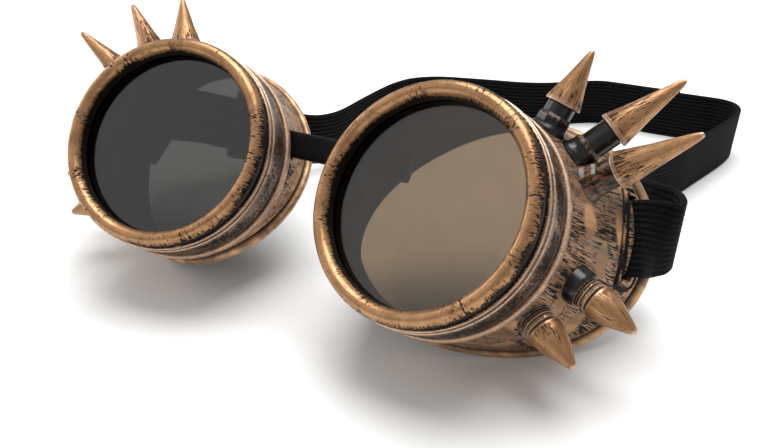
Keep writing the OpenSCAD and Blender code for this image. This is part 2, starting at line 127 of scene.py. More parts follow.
# The elastic: its slot, its fold beside the temple and its way round to the lap behind, as steps
# outwards and to the rear from the fold and the height of its lower edge
STRAP_W = 20.0
STRAP_T = 1.6
SLOT_CLOCK = math.radians(14)
SLOT_DEPTH = 45.0
SLOT_W = 4.0
SLOT_HALF = 10.8
SLOT_WALL_R = 37.6
FOLD_OUT = 7.8
RIGHT_ROUTE = (
    (0.7, 5.5, 17), (-1.8, 11.5, 16), (-7.8, 17.5, 14.2), (-14.3, 25.5, 11), (-18.8, 36.5, 7.5),
    (-20.3, 49.5, 4), (-18.3, 60.5, 1.4), (-14.3, 69.5, 0.3), (-9.8, 77.5, 0), (-5.8, 86.5, 0),
    (-2.8, 95.5, 0), (0.2, 104.5, 0), (3.2, 113.5, 0), (6, 122.5, 0), (8, 131.5, 0),
    (7.9, 138, 0), (5.5, 142.8, 0), (1, 145.2, 0), (-3.8, 145.5, 0), (-19.8, 145.5, 0),
    (-31.8, 145.5, 0),
)
LEFT_ROUTE = (
    (0.7, 5.5, 17), (-1.8, 11.5, 16.2), (-9.8, 18.5, 14.2), (-16.8, 23.4, 11.8),
    (-23.8, 28.3, 9.4), (-30.8, 33.2, 7), (-37.8, 38.1, 4.6), (-43.8, 43.8, 2.8),
    (-46.8, 51, 1.8), (-47.8, 59.5, 1.2), (-47.8, 73.5, 0.8), (-48.3, 89.5, 0.5),
    (-49.8, 101.5, 0.3), (-53.8, 111.5, 0.1), (-62.8, 118.8, 0), (-74.8, 122.5, 0),
    (-86.8, 125.5, 0), (-97.8, 128, 0), (-107.8, 132, 0), (-116.8, 138, 0), (-124.8, 144, 0),
    (-130.8, 147, 0), (-136.8, 147.5, 0), (-149.8, 147.5, 0), (-163.8, 147.5, 0),
)
SLIDER_AT = 4
SLIDER_SIZE = (12.0, 6.2, 24.6)
SLIDER_BAR = 2.0
HEM_HALF = (STRAP_W / 2 + 0.3, 1.5, 3.2)
LAP_BOX = np.array([(60.5, 71.5), (3.0, 17.0)])
THREAD_R = 0.32
STITCH_SHARE = 0.72

# The raised frame round the strap slot, and the slits in front of it: depth, width and how far
# they pass the slot's sides
FRAME_LIP_W = 1.5
FRAME_GROOVE_AT = 2.4
FRAME_GROOVE_W = 0.5
FRAME_SLITS = ((38.4, 0.55, 1.5), (40.6, 0.5, 0.5))
SLIT_BOW = 0.02

# How the meshes are cut: a profile's roundings and stretches, an oblong's corners, and the
# welding, in metres
ROUNDED_SHARE = 0.45
SHARP_BELOW = 1e-4
SHORT_STRETCH = 0.5
STRETCH_LEAD = 0.22
OBLONG_POWER = 0.22
MERGE_BELOW = 2e-6
DROP_BELOW = 1e-7

# The table, the softboxes (place, edge, share of the key) and the photograph's camera, fitted to
# it (azimuth and elevation in degrees, sensor and lens in mm), all in metres
TABLE_HALF = 3.0
LIT_POINT = (0, -0.03, 0.03)
SOFTBOXES = {
    "softbox_over": ((-0.02, 0.22, 1.0), 0.9, 1.0),
    "softbox_front": ((-0.7, -0.95, 0.95), 1.1, 0.13),
    "softbox_left": ((-1.15, 0.0, 0.4), 0.8, 0.3),
}
CAMERA_AT = (0.0940, -0.2125, 0.1177)
CAMERA_FROM = (27.5, 29.3)
CAMERA_OPTICS = (36.0, 32.3)

SIDES = {"right": 1, "left": -1}


class Slot(NamedTuple):
    """A slot through a cup's wall: its clock, how far round it the wall's rows are bent, the
    shares of the wall's length and the depths of its front and rear edges, the clocks of its two
    sides and the clock that its sides run along."""

    clock: float
    spread: float
    shares: tuple
    depths: tuple
    sides: tuple
    axis: float


STRAP_SLOT_HALF_ANGLE = math.asin(SLOT_HALF / SLOT_WALL_R)
STRAP_SLOT = Slot(
    SLOT_CLOCK, math.radians(24), (0.7977, 0.914),
    (SLOT_DEPTH - SLOT_W / 2, SLOT_DEPTH + SLOT_W / 2),
    (SLOT_CLOCK - STRAP_SLOT_HALF_ANGLE, SLOT_CLOCK + STRAP_SLOT_HALF_ANGLE), SLOT_CLOCK,
)
BRIDGE_SLOT = Slot(
    math.radians(157.7), math.radians(12), (0.079, 0.331), (16.74, 20.18),
    (math.radians(148.4), math.radians(166.9)), math.pi,
)


def linear(code):
    """Linear colour of an sRGB hex value."""
    part = np.array([int(code[i:i + 2], 16) for i in (1, 3, 5)]) / 255
    return tuple(np.where(part <= 0.04045, part / 12.92, ((part + 0.055) / 1.055) ** 2.4))


def colour(title, description, code):
    return FloatVectorProperty(
        name=title, description=description, subtype="COLOR", size=3, min=0, max=1,
        default=linear(code),
    )


def size(title, description, default, low, high):
    return FloatProperty(
        name=title, description=description, default=default * MM, min=low * MM, max=high * MM,
        unit="LENGTH", subtype="DISTANCE", precision=5,
    )


# ---------------------------------------------------------------- settings


class GogglesForm(bpy.types.PropertyGroup):
    """Sizes of the fine forms"""

    cup_columns: IntProperty(
        name="Cup columns", description="Grid columns round a cup and a ring", default=272,
        min=96, max=360,
    )
    row_step: size("Row step", "Largest step along a turned profile", 0.45, 0.2, 2)
    thread_height: size("Thread height", "Height of the cup's thread", 0.5, 0.2, 0.6)
    slot_frame: size("Slot frame", "Height of the raised frame round the strap slot", 0.35, 0, 0.8)
    bead_wave: size("Bead wave", "Unevenness of the ring's hand-finished bead", 0.06, 0, 0.2)
    rib_pitch: size("Rib pitch", "Distance between two ribs of the elastic", 1.54, 1, 4)
    rib_depth: size("Rib depth", "Depth of the grooves between the elastic's ribs", 0.4, 0, 0.5)
    stitch: size("Stitch", "Length of one stitch", 1.9, 1, 4)


class GogglesFinish(bpy.types.PropertyGroup):
    """Colours of the finishes"""

    copper_light: colour("Light copper", "Where the copper paint lies thick", "#bd9168")
    copper_deep: colour("Deep copper", "Where the copper paint is thin", "#7c5437")
    copper_rub: colour("Rubbed edge", "Paint on the edges that catch the brush", "#d9b9a0")
    scratch: colour("Scratches", "Dark brown scratches on the cones", "#3a241a")
    ground: colour("Ground", "The black plastic under the copper paint", "#17120f")
    band: colour("Band", "Smoky brown of the ring's band", "#6b5848")
    body_light: colour("Body strokes", "Beige copper strokes on the cups", "#c39e80")
    patina: colour("Patina", "Grey-green patches on the cups", "#5d6056")
    post: colour("Post", "Glossy black of the posts", "#0d0c0b")
    lens_right: colour("Right lens", "Warm smoke tint of the right lens", "#72604c")
    # Painted shade: the left lens is the same smoke as the right one, darkened and greyed for the
    # shadowed table seen through it
    lens_left: colour("Left lens", "Cool, darker smoke tint of the left lens", "#3c3c3a")
    rubber: colour("Rubber", "Black rubber of the seals and the nose strip", "#080808")
    elastic: colour("Elastic", "Black yarn of the head strap", "#0a0a0a")
    # Painted highlight: the dark grey of the rib crests stands for the light that the crests catch
    elastic_crest_sheen: colour("Rib crests", "Dark grey fuzz on the crests of the ribs", "#222222")
    slider: colour("Slider", "Black plastic of the strap slider", "#141415")


class GogglesStage(bpy.types.PropertyGroup):
    """Table and light"""

    table: colour("Table", "Colour of the table top", "#f4f4f3")
    sky: FloatProperty(
        name="Room light", description="Strength of the even white room light", default=0.44, min=0,
    )
    key: FloatProperty(
        name="Softbox", description="Power of the large softbox over the goggles", default=15.0,
        min=0, unit="POWER",
    )


# ---------------------------------------------------------------- forms of the cup


def rim_depth(p):
    """Depth of the face rim: a mean, a rake to the temple and a saddle of two waves round."""
    return 38.5 + 15 * np.cos(p - math.radians(30)) + 4 * np.cos(2 * (p + math.radians(25)))


def rim_radius(p):
    """Radius of the face rim: a mean, a flare to the temple and an oval of two waves round."""
    return 33.5 + 5 * np.cos(p - math.radians(25)) + 2.4 * np.cos(2 * (p - math.radians(25)))


def body_radius(a, p):
    """The cup's outer radius, which grows from the body's to the rim's by a power of the depth."""
    share = np.clip((a - BODY_FRONT) / (rim_depth(p) - BODY_FRONT), 0, None)
    return BODY_R + (rim_radius(p) - BODY_R) * share ** 0.85


def lay_back(v):
    """Goggles' own frame to the row frame, in mm: a turn round x by the lie-back angle."""
    x, y, z = v[..., 0], v[..., 1], v[..., 2]
    c, s = math.cos(LIE_BACK), math.sin(LIE_BACK)
    return np.stack([x, y * c + z * s, z * c - y * s + LENS_HEIGHT], -1)


def from_cup(v, side):
    """A cup's own frame to the row frame, in mm: toe-in, half spacing, lie-back and mirror."""
    x, y, z = v[..., 0], v[..., 1], v[..., 2]
    c, s = math.cos(TOE_IN), math.sin(TOE_IN)
    laid = lay_back(np.stack([HALF_SPACING - z * s + x * c, -z * c - x * s, y], -1))
    return laid * [side, 1, 1] - MIDDLE


def round_cup(a, p, r):
    """Points of a cup's own frame from depth, clock angle and radius."""
    return np.stack(np.broadcast_arrays(r * np.cos(p), r * np.sin(p), -a), -1)


def turn(axis, degrees):
    c, s = math.cos(math.radians(degrees)), math.sin(math.radians(degrees))
    return {
        "x": np.array([[1, 0, 0], [0, c, -s], [0, s, c]]),
        "y": np.array([[c, 0, s], [0, 1, 0], [-s, 0, c]]),
        "z": np.array([[c, -s, 0], [s, c, 0], [0, 0, 1]]),
    }[axis]


def on_wall(v, spike):
    """A spike's own frame, z along the spike, to the cup's frame: it stands on the wall at its
    depth and clock angle, with its two leans, sunk by the post's sink."""
    a, clock, lean, along = spike[:4]
    foot = [body_radius(a, math.radians(clock)) - POST_SINK, 0, -a]
    v = v @ (turn("y", 90) @ turn("y", lean) @ turn("x", -along)).T
    return (v + foot) @ turn("z", clock).T


def slot_frame_relief(a, p, height):
    """Raised frame round the strap slot: a lip beside the slot and a groove round the lip, as a
    function of the distance to the slot's oblong, with two bowed slits in front. Gives the relief
    and how far each point lies in a groove or a slit."""
    across = np.abs(body_radius(a, p) * (p - SLOT_CLOCK)) - SLOT_HALF
    deep = np.abs(a - SLOT_DEPTH) - SLOT_W / 2
    away = np.hypot(np.maximum(across, 0), np.maximum(deep, 0))
    lip = np.exp(-((away / FRAME_LIP_W) ** 4))
    groove = np.exp(-(((away - FRAME_GROOVE_AT) / FRAME_GROOVE_W) ** 2))
    bow = SLIT_BOW * (across + SLOT_HALF) ** 2
    slit = np.max([
        np.exp(-(((a - depth - bow) / width) ** 4)) * (across < past)
        for depth, width, past in FRAME_SLITS
    ], axis=0) * (a < SLOT_DEPTH)
    return height * (lip * 0.8 - groove - slit), groove + slit


# ---------------------------------------------------------------- meshes


def run_along(path):
    """How far each point of a path lies along it."""
    return np.r_[0, np.cumsum(np.linalg.norm(np.diff(path, axis=0), axis=1))]


def soften(corners, step, turns=4):
    """A dense profile from corners of x, y, rounding, tone, edge and dirt, which are 0 where a
    corner leaves them out. A rounded corner is a quadratic curve that starts and ends the rounding
    away from it, a straight stretch is cut into steps, and the edge value holds only on the corner
    itself."""
    c = np.array([(*row, *[0.0] * (6 - len(row))) for row in corners])
    rows = []
    for before, here, after in zip([c[0], *c[:-1]], c, [*c[1:], c[-1]]):
        to_a, to_b = before[:2] - here[:2], after[:2] - here[:2]
        la, lb = np.hypot(*to_a), np.hypot(*to_b)
        k = min(here[2], ROUNDED_SHARE * la, ROUNDED_SHARE * lb)
        if k < SHARP_BELOW:
            rows.append(np.r_[here[:2], here[3:]][None])
            continue
        t = np.linspace(0, 1, turns + 1)[:, None]
        a, b = here[:2] + to_a / la * k, here[:2] + to_b / lb * k
        bow = (1 - t) ** 2 * a + 2 * t * (1 - t) * here[:2] + t ** 2 * b
        rows.append(np.c_[bow, np.repeat(here[None, 3:], turns + 1, 0)])
    out = [rows[0]]
    for last, new in zip(rows[:-1], rows[1:]):
        a, b = last[-1], new[0]
        gap = np.hypot(*(b - a)[:2])
        if gap > SHORT_STRETCH:
            lead = STRETCH_LEAD / gap
            cuts = np.r_[lead, np.linspace(lead, 1 - lead, 2 + int(gap / step))[1:]]
            middle = a + (b - a) * cuts[:, None]
            middle[:, 3] = 0
            out.append(middle)
        out.append(new)
    return np.concatenate(out)


def surface(points, lay=None, finish=None, rows_round=False, cols_round=False, capped=False,
            holes=()):
    """A grid of rows and columns as points, quads and two point attributes: lay, the place on the
    surface in mm that a pattern follows, and finish, its tone, edge and dirt. A capped grid ends
    in a pole at each end. A hole is a block of the outer rows and the matching inner rows, with a
    wall between the two edges."""
    grids = [points, *(np.broadcast_to(v, points.shape) for v in (
        points if lay is None else lay, np.zeros(3) if finish is None else finish))]
    if capped:
        grids = [np.concatenate([np.broadcast_to(v[:1].mean(1, keepdims=True), v[:1].shape), v,
                                 np.broadcast_to(v[-1:].mean(1, keepdims=True), v[:1].shape)])
                 for v in grids]
    m, n = grids[0].shape[:2]
    i, j = np.meshgrid(
        np.arange(m - (not rows_round)), np.arange(n - (not cols_round)), indexing="ij"
    )
    quads = np.stack(
        [i * n + j, i * n + (j + 1) % n, (i + 1) % m * n + (j + 1) % n, (i + 1) % m * n + j], -1
    )
    keep = np.ones(i.shape, bool)
    walls = []
    for (o0, o1), (i0, i1), (c0, c1) in holes:
        keep[o0:o1, c0:c1] = False
        keep[min(i0, i1):max(i0, i1), c0:c1] = False
        k = np.arange(c0, c1)
        for outer, inner in ((o0, i0), (o1, i1)):
            walls.append(np.stack([outer * n + k, outer * n + k + 1,
                                   inner * n + k + 1, inner * n + k], -1))
        q = np.arange(o1 - o0)
        step = 1 if i1 > i0 else -1
        for c in (c0, c1):
            walls.append(np.stack([(o0 + q) * n + c, (o0 + q + 1) * n + c,
                                   (i0 + step * (q + 1)) * n + c, (i0 + step * q) * n + c], -1))
    quads = np.concatenate([quads[keep].reshape(-1, 4), *walls])
    points, lay, finish = (v.reshape(-1, 3) for v in grids)
    return points, quads, lay, finish


def piece(name, surfaces, finish, body, nodes=(), sharp=40.0):
    """One visible piece from its surfaces, in mm of the row frame. It rides on a CAD body, stands
    for the CAD nodes and takes the named finish."""
    start = np.cumsum([0] + [len(s[0]) for s in surfaces[:-1]])
    points = np.concatenate([s[0] for s in surfaces]) * MM
    quads = np.concatenate([s[1] + k for s, k in zip(surfaces, start)])
    mesh = bpy.data.meshes.new(name)
    mesh.from_pydata(points.tolist(), [], quads.tolist())
    for label, k in (("lay", 2), ("finish", 3)):
        values = np.concatenate([s[k] for s in surfaces])
        mesh.attributes.new(label, "FLOAT_VECTOR", "POINT").data.foreach_set(
            "vector", values.astype(np.float32).ravel()
        )
    bm = bmesh.new()
    bm.from_mesh(mesh)
    bmesh.ops.remove_doubles(bm, verts=bm.verts, dist=MERGE_BELOW)
    bmesh.ops.dissolve_degenerate(bm, dist=DROP_BELOW, edges=bm.edges)
    bmesh.ops.recalc_face_normals(bm, faces=bm.faces)
    bm.to_mesh(mesh)
    bm.free()
    mesh.shade_smooth()
    mesh.set_sharp_from_angle(angle=math.radians(sharp))
    mesh.materials.append(finish_of(finish))
    obj = bpy.data.objects.new(name, mesh)
    bpy.context.scene.collection.objects.link(obj)
    if body:
        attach(obj, body)
    if nodes:
        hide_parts(*nodes)
    return obj


def unevenness(p):
    """A slow wobble round a turned form: three sines of 5, 11 and 23 waves."""
    return np.sin(5 * p + 1) + 0.7 * np.sin(11 * p) + 0.5 * np.sin(23 * p + 2)


def turned(profile, columns, up=1, facets=None, wave=0):
    """A turned surface: each row of a profile is a circle of its radius at its height. Facets
    draw each row in towards an octagon by the row's weight, and wave is a slow unevenness."""
    p = np.linspace(-np.pi, np.pi, columns, endpoint=False)[None]
    r, z, finish = profile[:, :1], profile[:, 1:2], profile[:, 2:5]
    if facets is not None:
        sector = 2 * np.pi / POST_FACETS
        flat = math.cos(sector / 2) / np.cos((p % sector) - sector / 2)
        r = r * (1 + (flat - 1) * facets[:, None])
    r = r + wave * unevenness(p) / 2
    reach = profile[:, 0].max()
    r, z, run = np.broadcast_arrays(r, z, run_along(profile[:, :2])[:, None])
    points = np.stack([r * np.cos(p), r * np.sin(p), up * z], -1)
    lay = np.stack(np.broadcast_arrays(reach * np.cos(p), reach * np.sin(p), run), -1)
    return points, lay, np.broadcast_to(finish[:, None], points.shape)


def oblong(half_x, half_y, corner, count):
    """Outline of a rounded oblong as (count, 2): a superellipse direction scaled so that the
    corners keep their rounding. Half sizes may be arrays, one per row."""
    t = np.linspace(0, 2 * np.pi, count, endpoint=False) + np.pi / count
    ux, uy = np.cos(t), np.sin(t)
    sx, sy = (np.sign(v) * np.abs(v) ** OBLONG_POWER for v in (ux, uy))
    half_x, half_y = (np.atleast_1d(half)[:, None] - corner for half in (half_x, half_y))
    return np.stack([half_x * sx + corner * ux, half_y * sy + corner * uy], -1)


def carried(x, outline):
    """An outline per row, at each row's place along x, as a grid of points."""
    place = np.broadcast_to(x[:, None, None], (*outline.shape[:2], 1))
    return np.concatenate([place, outline], -1)


def bar(centre, axes, half, corner, count=40):
    """A bar with rounded edges: a rounded oblong carried along its long axis and drawn in at both
    ends along a quarter circle."""
    t = np.linspace(0, np.pi / 2, 9)
    x, inset = half[0] - corner + corner * np.sin(t), corner * (1 - np.cos(t))
    x, inset = np.r_[-x[::-1], x], np.r_[inset[::-1], inset]
    local = carried(x, oblong(half[1] - inset, half[2] - inset, corner * 0.6, count))
    return surface(centre + local @ axes, lay=local, cols_round=True, capped=True)


def unit(v):
    return v / np.linalg.norm(v, axis=-1, keepdims=True)


def smooth_path(points, steps):
    """A Catmull-Rom curve through the points: a cubic for each span, from its own two points and
    the two beside them."""
    q = np.asarray(points, float)
    spans = np.arange(len(q) - 1)
    a, b, c, d = (q[np.clip(spans + k, 0, len(q) - 1)][:, None] for k in (-1, 0, 1, 2))
    t = (np.arange(steps) / steps)[None, :, None]
    out = 0.5 * (2 * b + (c - a) * t + (2 * a - 5 * b + 4 * c - d) * t ** 2
                 + (3 * b - a - 3 * c + d) * t ** 3)
    return np.concatenate([out.reshape(-1, 3), q[-1:]])


def rib_count():
    return round(STRAP_W / (bpy.context.scene.goggles_form.rib_pitch / MM))


def ribbed_section(depth, thickness):
    """Section of the elastic as places across and through it: ribs are a row of cosine bumps on
    both faces, flatter on the inner one, and the two selvedges are half circles."""
    half = STRAP_W / 2 - thickness / 2
    across = np.linspace(-half, half, 111)
    dip = depth * (0.5 - 0.5 * np.cos(2 * np.pi * rib_count() * across / STRAP_W)) ** 2
    edge = np.linspace(-np.pi / 2, np.pi / 2, 9)[1:-1]
    outer = np.c_[across, thickness / 2 - dip]
    inner = np.c_[across[::-1], -(thickness / 2 - dip[::-1] * 0.4)]
    right = np.c_[half + thickness / 2 * np.cos(edge[::-1]), thickness / 2 * np.sin(edge[::-1])]
    left = np.c_[-half - thickness / 2 * np.cos(edge), thickness / 2 * np.sin(edge)]
    return np.concatenate([outer, right, inner, left])


def ribbon(path, ups, section, thin):
    """A section carried along a path: its width lies along the ups, made square to the path, and
    its thickness along their cross product. Thin scales the thickness of each row."""
    along = unit(np.gradient(path, axis=0))
    ups = unit(ups - (ups * along).sum(-1, keepdims=True) * along)
    side = np.cross(ups, along)
    wide, deep = section[None, :, :1], section[None, :, 1:] * thin[:, None, None]
    points = path[:, None] + wide * ups[:, None] + deep * side[:, None]
    lay = np.stack(
        np.broadcast_arrays(wide[..., 0], run_along(path)[:, None], deep[..., 0]), -1)
    return surface(points, lay=lay, cols_round=True, capped=True)


def stitches(ends_a, ends_b, up):
    """Sewn stitches, each a small bead of thread from its one end to the other: an ellipsoid with
    a half sine along it."""
    t = np.linspace(0.02, 0.98, 7)[:, None]
    r = THREAD_R * np.sqrt(np.sin(np.pi * t))
    q = np.linspace(0, 2 * np.pi, 8, endpoint=False)[None]
    out = []
    for a, b in zip(ends_a, ends_b):
        along = unit(b - a)
        lift = unit(up - along * (up @ along))
        rim = np.cos(q)[..., None] * np.cross(along, lift) + 0.7 * np.sin(q)[..., None] * lift
        points = (a + (b - a) * t)[:, None] + r[..., None] * rim
        out.append(surface(points, cols_round=True, capped=True))
    return out


# ---------------------------------------------------------------- finishes

# Settings of nodes that several finishes use
TIMES = {"operation": "MULTIPLY"}
TIMES_PLUS = {"operation": "MULTIPLY_ADD"}
LESS = {"operation": "SUBTRACT"}
LARGER = {"operation": "MAXIMUM"}
SMOOTH = {"interpolation_type": "SMOOTHSTEP"}
COLOURS = {"data_type": "RGBA"}


def add(tree, kind, inputs=(), out=0, **settings):
    """Adds a node with its settings and gives one of its outputs. Its inputs come in the node's
    own order or by name: a socket is linked, any other value is set, and a colour gets its
    alpha."""
    node = tree.nodes.new("ShaderNode" + kind)
    for key, value in settings.items():
        setattr(node, key, value)
    sockets = [s for s in node.inputs if s.enabled]
    for key, value in inputs.items() if isinstance(inputs, dict) else enumerate(inputs):
        socket = node.inputs[key] if isinstance(key, str) else sockets[key]
        if isinstance(value, bpy.types.NodeSocket):
            tree.links.new(value, socket)
        else:
            socket.default_value = (*value, 1.0) if socket.type == "RGBA" else value
    outputs = [s for s in node.outputs if s.enabled]
    return outputs[out] if outputs else None


def scaled(tint, factor):
    return tuple(factor * v for v in tint)


def marks(tree):
    """What a mesh tells its finish: the place on the surface in mm, tone, edge and dirt."""
    lay, finish = (
        add(tree, "Attribute", out=1, attribute_name=name) for name in ("lay", "finish")
    )
    return lay, *add(tree, "SeparateXYZ", (finish,), out=slice(3))


def surface_noise(tree, lay, across, along, detail=3.0, distortion=0.0):
    """Noise on the surface's own mm, with one cell about so far across and so far along it."""
    place = add(tree, "Mapping", {"Vector": lay, "Scale": (1 / across, 1 / across, 1 / along)})
    return add(tree, "TexNoise", {
        "Vector": place, "Scale": 1.0, "Detail": detail, "Distortion": distortion,
    })


def shade(tree, relief=None, **inputs):
    """Ends a material in a Principled surface. A relief is its strength, depth in mm and
    height."""
    if relief:
        strength, depth, height = relief
        inputs["Normal"] = add(tree, "Bump", {
            "Strength": strength, "Distance": depth * MM, "Height": height,
        })
    named = {key.replace("_", " "): value for key, value in inputs.items()}
    add(tree, "OutputMaterial", {"Surface": add(tree, "BsdfPrincipled", named)})


def antique_copper(tree, look, light, ground, second, across, along, bare, metal, rough,
                   smooth=0.0, patina=None):
    """Antique copper paint, dry-brushed by hand over moulded black ABS. The eye sees satin
    copper that breaks into dark strokes where the brush skipped, blackened grooves and pale
    edges worn by the brush. Across and along are a stroke's width and length in mm, bare is how
    much ground shows, and smooth is how far the second tone covers the strokes."""
    lay, tone, edge, dirt = marks(tree)
    strokes = surface_noise(tree, lay, across, along, 4.0, 1.5)
    streaks = surface_noise(tree, lay, along * 1.3, across, 4.0, 0.8)
    fine = surface_noise(tree, lay, across * 0.35, along * 0.5)
    slow = surface_noise(tree, lay, 5.0, 5.0, 2.0)
    patch = surface_noise(tree, lay, 9.0, 9.0, 1.0)

    # The paint: thin to thick with darker specks, then the second tone and the patina
    thick = add(tree, "MapRange", (slow, 0.3, 0.7, 0.55, 0.9), **SMOOTH)
    paint = add(tree, "Mix", (thick, look.copper_deep, light), **COLOURS)
    specks = add(tree, "MapRange", (fine, 0.45, 0.7, 0.0, 0.3), **SMOOTH)
    paint = add(tree, "Mix", (specks, paint, scaled(look.copper_deep, 0.55)), **COLOURS)
    cloud = add(tree, "MapRange", (slow, 0.4, 0.62), **SMOOTH)
    other = add(tree, "Mix", (cloud, scaled(second, 0.55), scaled(second, 1.35)), **COLOURS)
    paint = add(tree, "Mix", (tone, paint, other), **COLOURS)
    if patina:
        spots = surface_noise(tree, lay, 3.4, 7.0, 2.0, 0.6)
        spread = add(tree, "MapRange", (spots, 0.52, 0.68, 0.0, 0.5), **SMOOTH)
        paint = add(tree, "Mix", (spread, paint, patina), **COLOURS)

    # The ground shows where the brush skipped or wore through, in patches and in the grooves
    bias = add(tree, "Math", (patch, 0.6, -0.3), **TIMES_PLUS)
    level = add(tree, "Math", (dirt, 0.55, strokes), **TIMES_PLUS)
    level = add(tree, "Math", (level, bias))
    skip = add(tree, "MapRange", (level, 0.95 - bare, 1.06 - bare), **SMOOTH)
    level = add(tree, "Math", (streaks, bias), **LESS)
    through = add(tree, "MapRange", (level, 0.93 - bare, 1.09 - bare, 0.0, 0.7), **SMOOTH)
    skip = add(tree, "Math", (skip, through), **LARGER)
    calm = add(tree, "Math", (tone, -smooth, 1.0), **TIMES_PLUS)
    skip = add(tree, "Math", (skip, add(tree, "Math", (calm, dirt), **LARGER)), **TIMES)
    paint = add(tree, "Mix", (skip, paint, ground), **COLOURS)

    rubbed_and_sheen = add(tree, "MapRange", (fine, 0.3, 0.5, 0.0, 0.85), **SMOOTH)
    rubbed_and_sheen = add(tree, "Math", (edge, rubbed_and_sheen), **TIMES)
    paint = add(tree, "Mix", (rubbed_and_sheen, paint, look.copper_rub), **COLOURS)
    raised = add(tree, "Math", (fine, 0.35), **TIMES)
    height = add(tree, "Math", (raised, add(tree, "Math", (skip, calm), **TIMES)), **LESS)
    shade(
        tree, relief=(0.55, 0.12, height), Base_Color=paint, Specular_IOR_Level=0.1,
        Metallic=add(tree, "Math", (skip, -metal, metal), **TIMES_PLUS),
        Roughness=add(tree, "MapRange", (skip, 0.0, 1.0, rough, rough + 0.15)),
    )


def bead_copper(tree, look):
    # The ring: bright bead, smoky brown band; short dark skips lie across the bead
    antique_copper(tree, look, look.copper_light, look.ground, look.band,
                   across=0.55, along=2.1, bare=0.3, metal=0.8, rough=0.32)


def cone_copper(tree, look):
    # The cones: streaks run from the base to the tip
    antique_copper(tree, look, look.copper_light, look.scratch, look.copper_deep,
                   across=0.4, along=3.6, bare=0.29, metal=0.8, rough=0.34)


def stroked_copper(tree, look):
    # The cups: wavy strokes along the cup over a ground that shows everywhere between them
    antique_copper(tree, look, look.body_light, look.ground, look.copper_light,
                   across=0.45, along=1.8, bare=0.43, metal=0.6, rough=0.42, smooth=0.95,
                   patina=look.patina)


def post_enamel(tree, look):
    # Moulded ABS under black gloss enamel: mirror-like, with a trace of copper on its edges
    lay, tone, edge, _ = marks(tree)
    grain = surface_noise(tree, lay, 0.9, 2.4, 3.0, 0.8)
    rubbed_and_sheen = add(tree, "MapRange", (grain, 0.42, 0.6, 0.0, 0.7), **SMOOTH)
    rubbed_and_sheen = add(tree, "Math", (edge, rubbed_and_sheen), **TIMES)
    strokes = add(tree, "MapRange", (grain, 0.44, 0.56), **SMOOTH)
    strokes = add(tree, "Math", (tone, strokes), **TIMES)
    cover = add(tree, "Math", (rubbed_and_sheen, strokes), **LARGER)
    paint = add(tree, "Mix", (cover, look.post, look.copper_deep), **COLOURS)
    shade(tree, relief=(0.35, 0.1, grain), Base_Color=paint, Roughness=0.27, IOR=1.5)


def smoked_polycarbonate(tree, smoke):
    """Injection-moulded smoked polycarbonate: it dims what is behind it to the colour of its
    smoke and reflects the room sharply."""
    haze = surface_noise(tree, marks(tree)[0], 6.0, 6.0)
    cloud = add(tree, "MapRange", (haze, 0.3, 0.7), **SMOOTH)
    tint = add(tree, "Mix", (cloud, smoke, scaled(smoke, 1.06)), **COLOURS)
    gloss = add(tree, "MapRange", (haze, 0.0, 1.0, 0.02, 0.05))
    shade(tree, Base_Color=tint, Roughness=gloss, IOR=1.585, Transmission_Weight=1.0)


def warm_smoke(tree, look):
    # The right lens: a brown-grey
    smoked_polycarbonate(tree, look.lens_right)


def shaded_smoke(tree, look):
    # The left lens: painted shade, the same smoke darkened to a grey for the shadowed table seen
    # through it
    smoked_polycarbonate(tree, look.lens_left)


def grained(tree, tint, lighter, cell, detail, relief=None, **inputs):
    """A plain material whose grain, with cells of so many mm, runs from the tint to one so many
    times lighter. A relief is its strength and depth."""
    grain = surface_noise(tree, marks(tree)[0], cell, cell, detail)
    if "gloss" in inputs:
        inputs["Roughness"] = add(tree, "MapRange", (grain, 0.0, 1.0, *inputs.pop("gloss")))
    inputs["Base_Color"] = add(tree, "Mix", (grain, tint, scaled(tint, lighter)), **COLOURS)
    shade(tree, relief=relief and (*relief, grain), **inputs)


def black_rubber(tree, look):
    # Moulded nitrile rubber: deep black with a soft, slightly uneven sheen
    grained(tree, look.rubber, 1.8, 0.7, 4.0, relief=(0.25, 0.08), gloss=(0.38, 0.6), IOR=1.52,
            Specular_IOR_Level=0.1)


def sewing_thread(tree, look):
    # Twisted polyester thread: a touch lighter and glossier than the elastic
    grained(tree, scaled(look.elastic, 1.6), 2.0, 0.4, 1.0, Roughness=0.6, Sheen_Weight=0.2)


def moulded_nylon(tree, look):
    # Injection-moulded black nylon with a fine spark-eroded grain
    grained(tree, look.slider, 1.7, 0.35, 3.0, relief=(0.4, 0.04), Roughness=0.45, IOR=1.53)


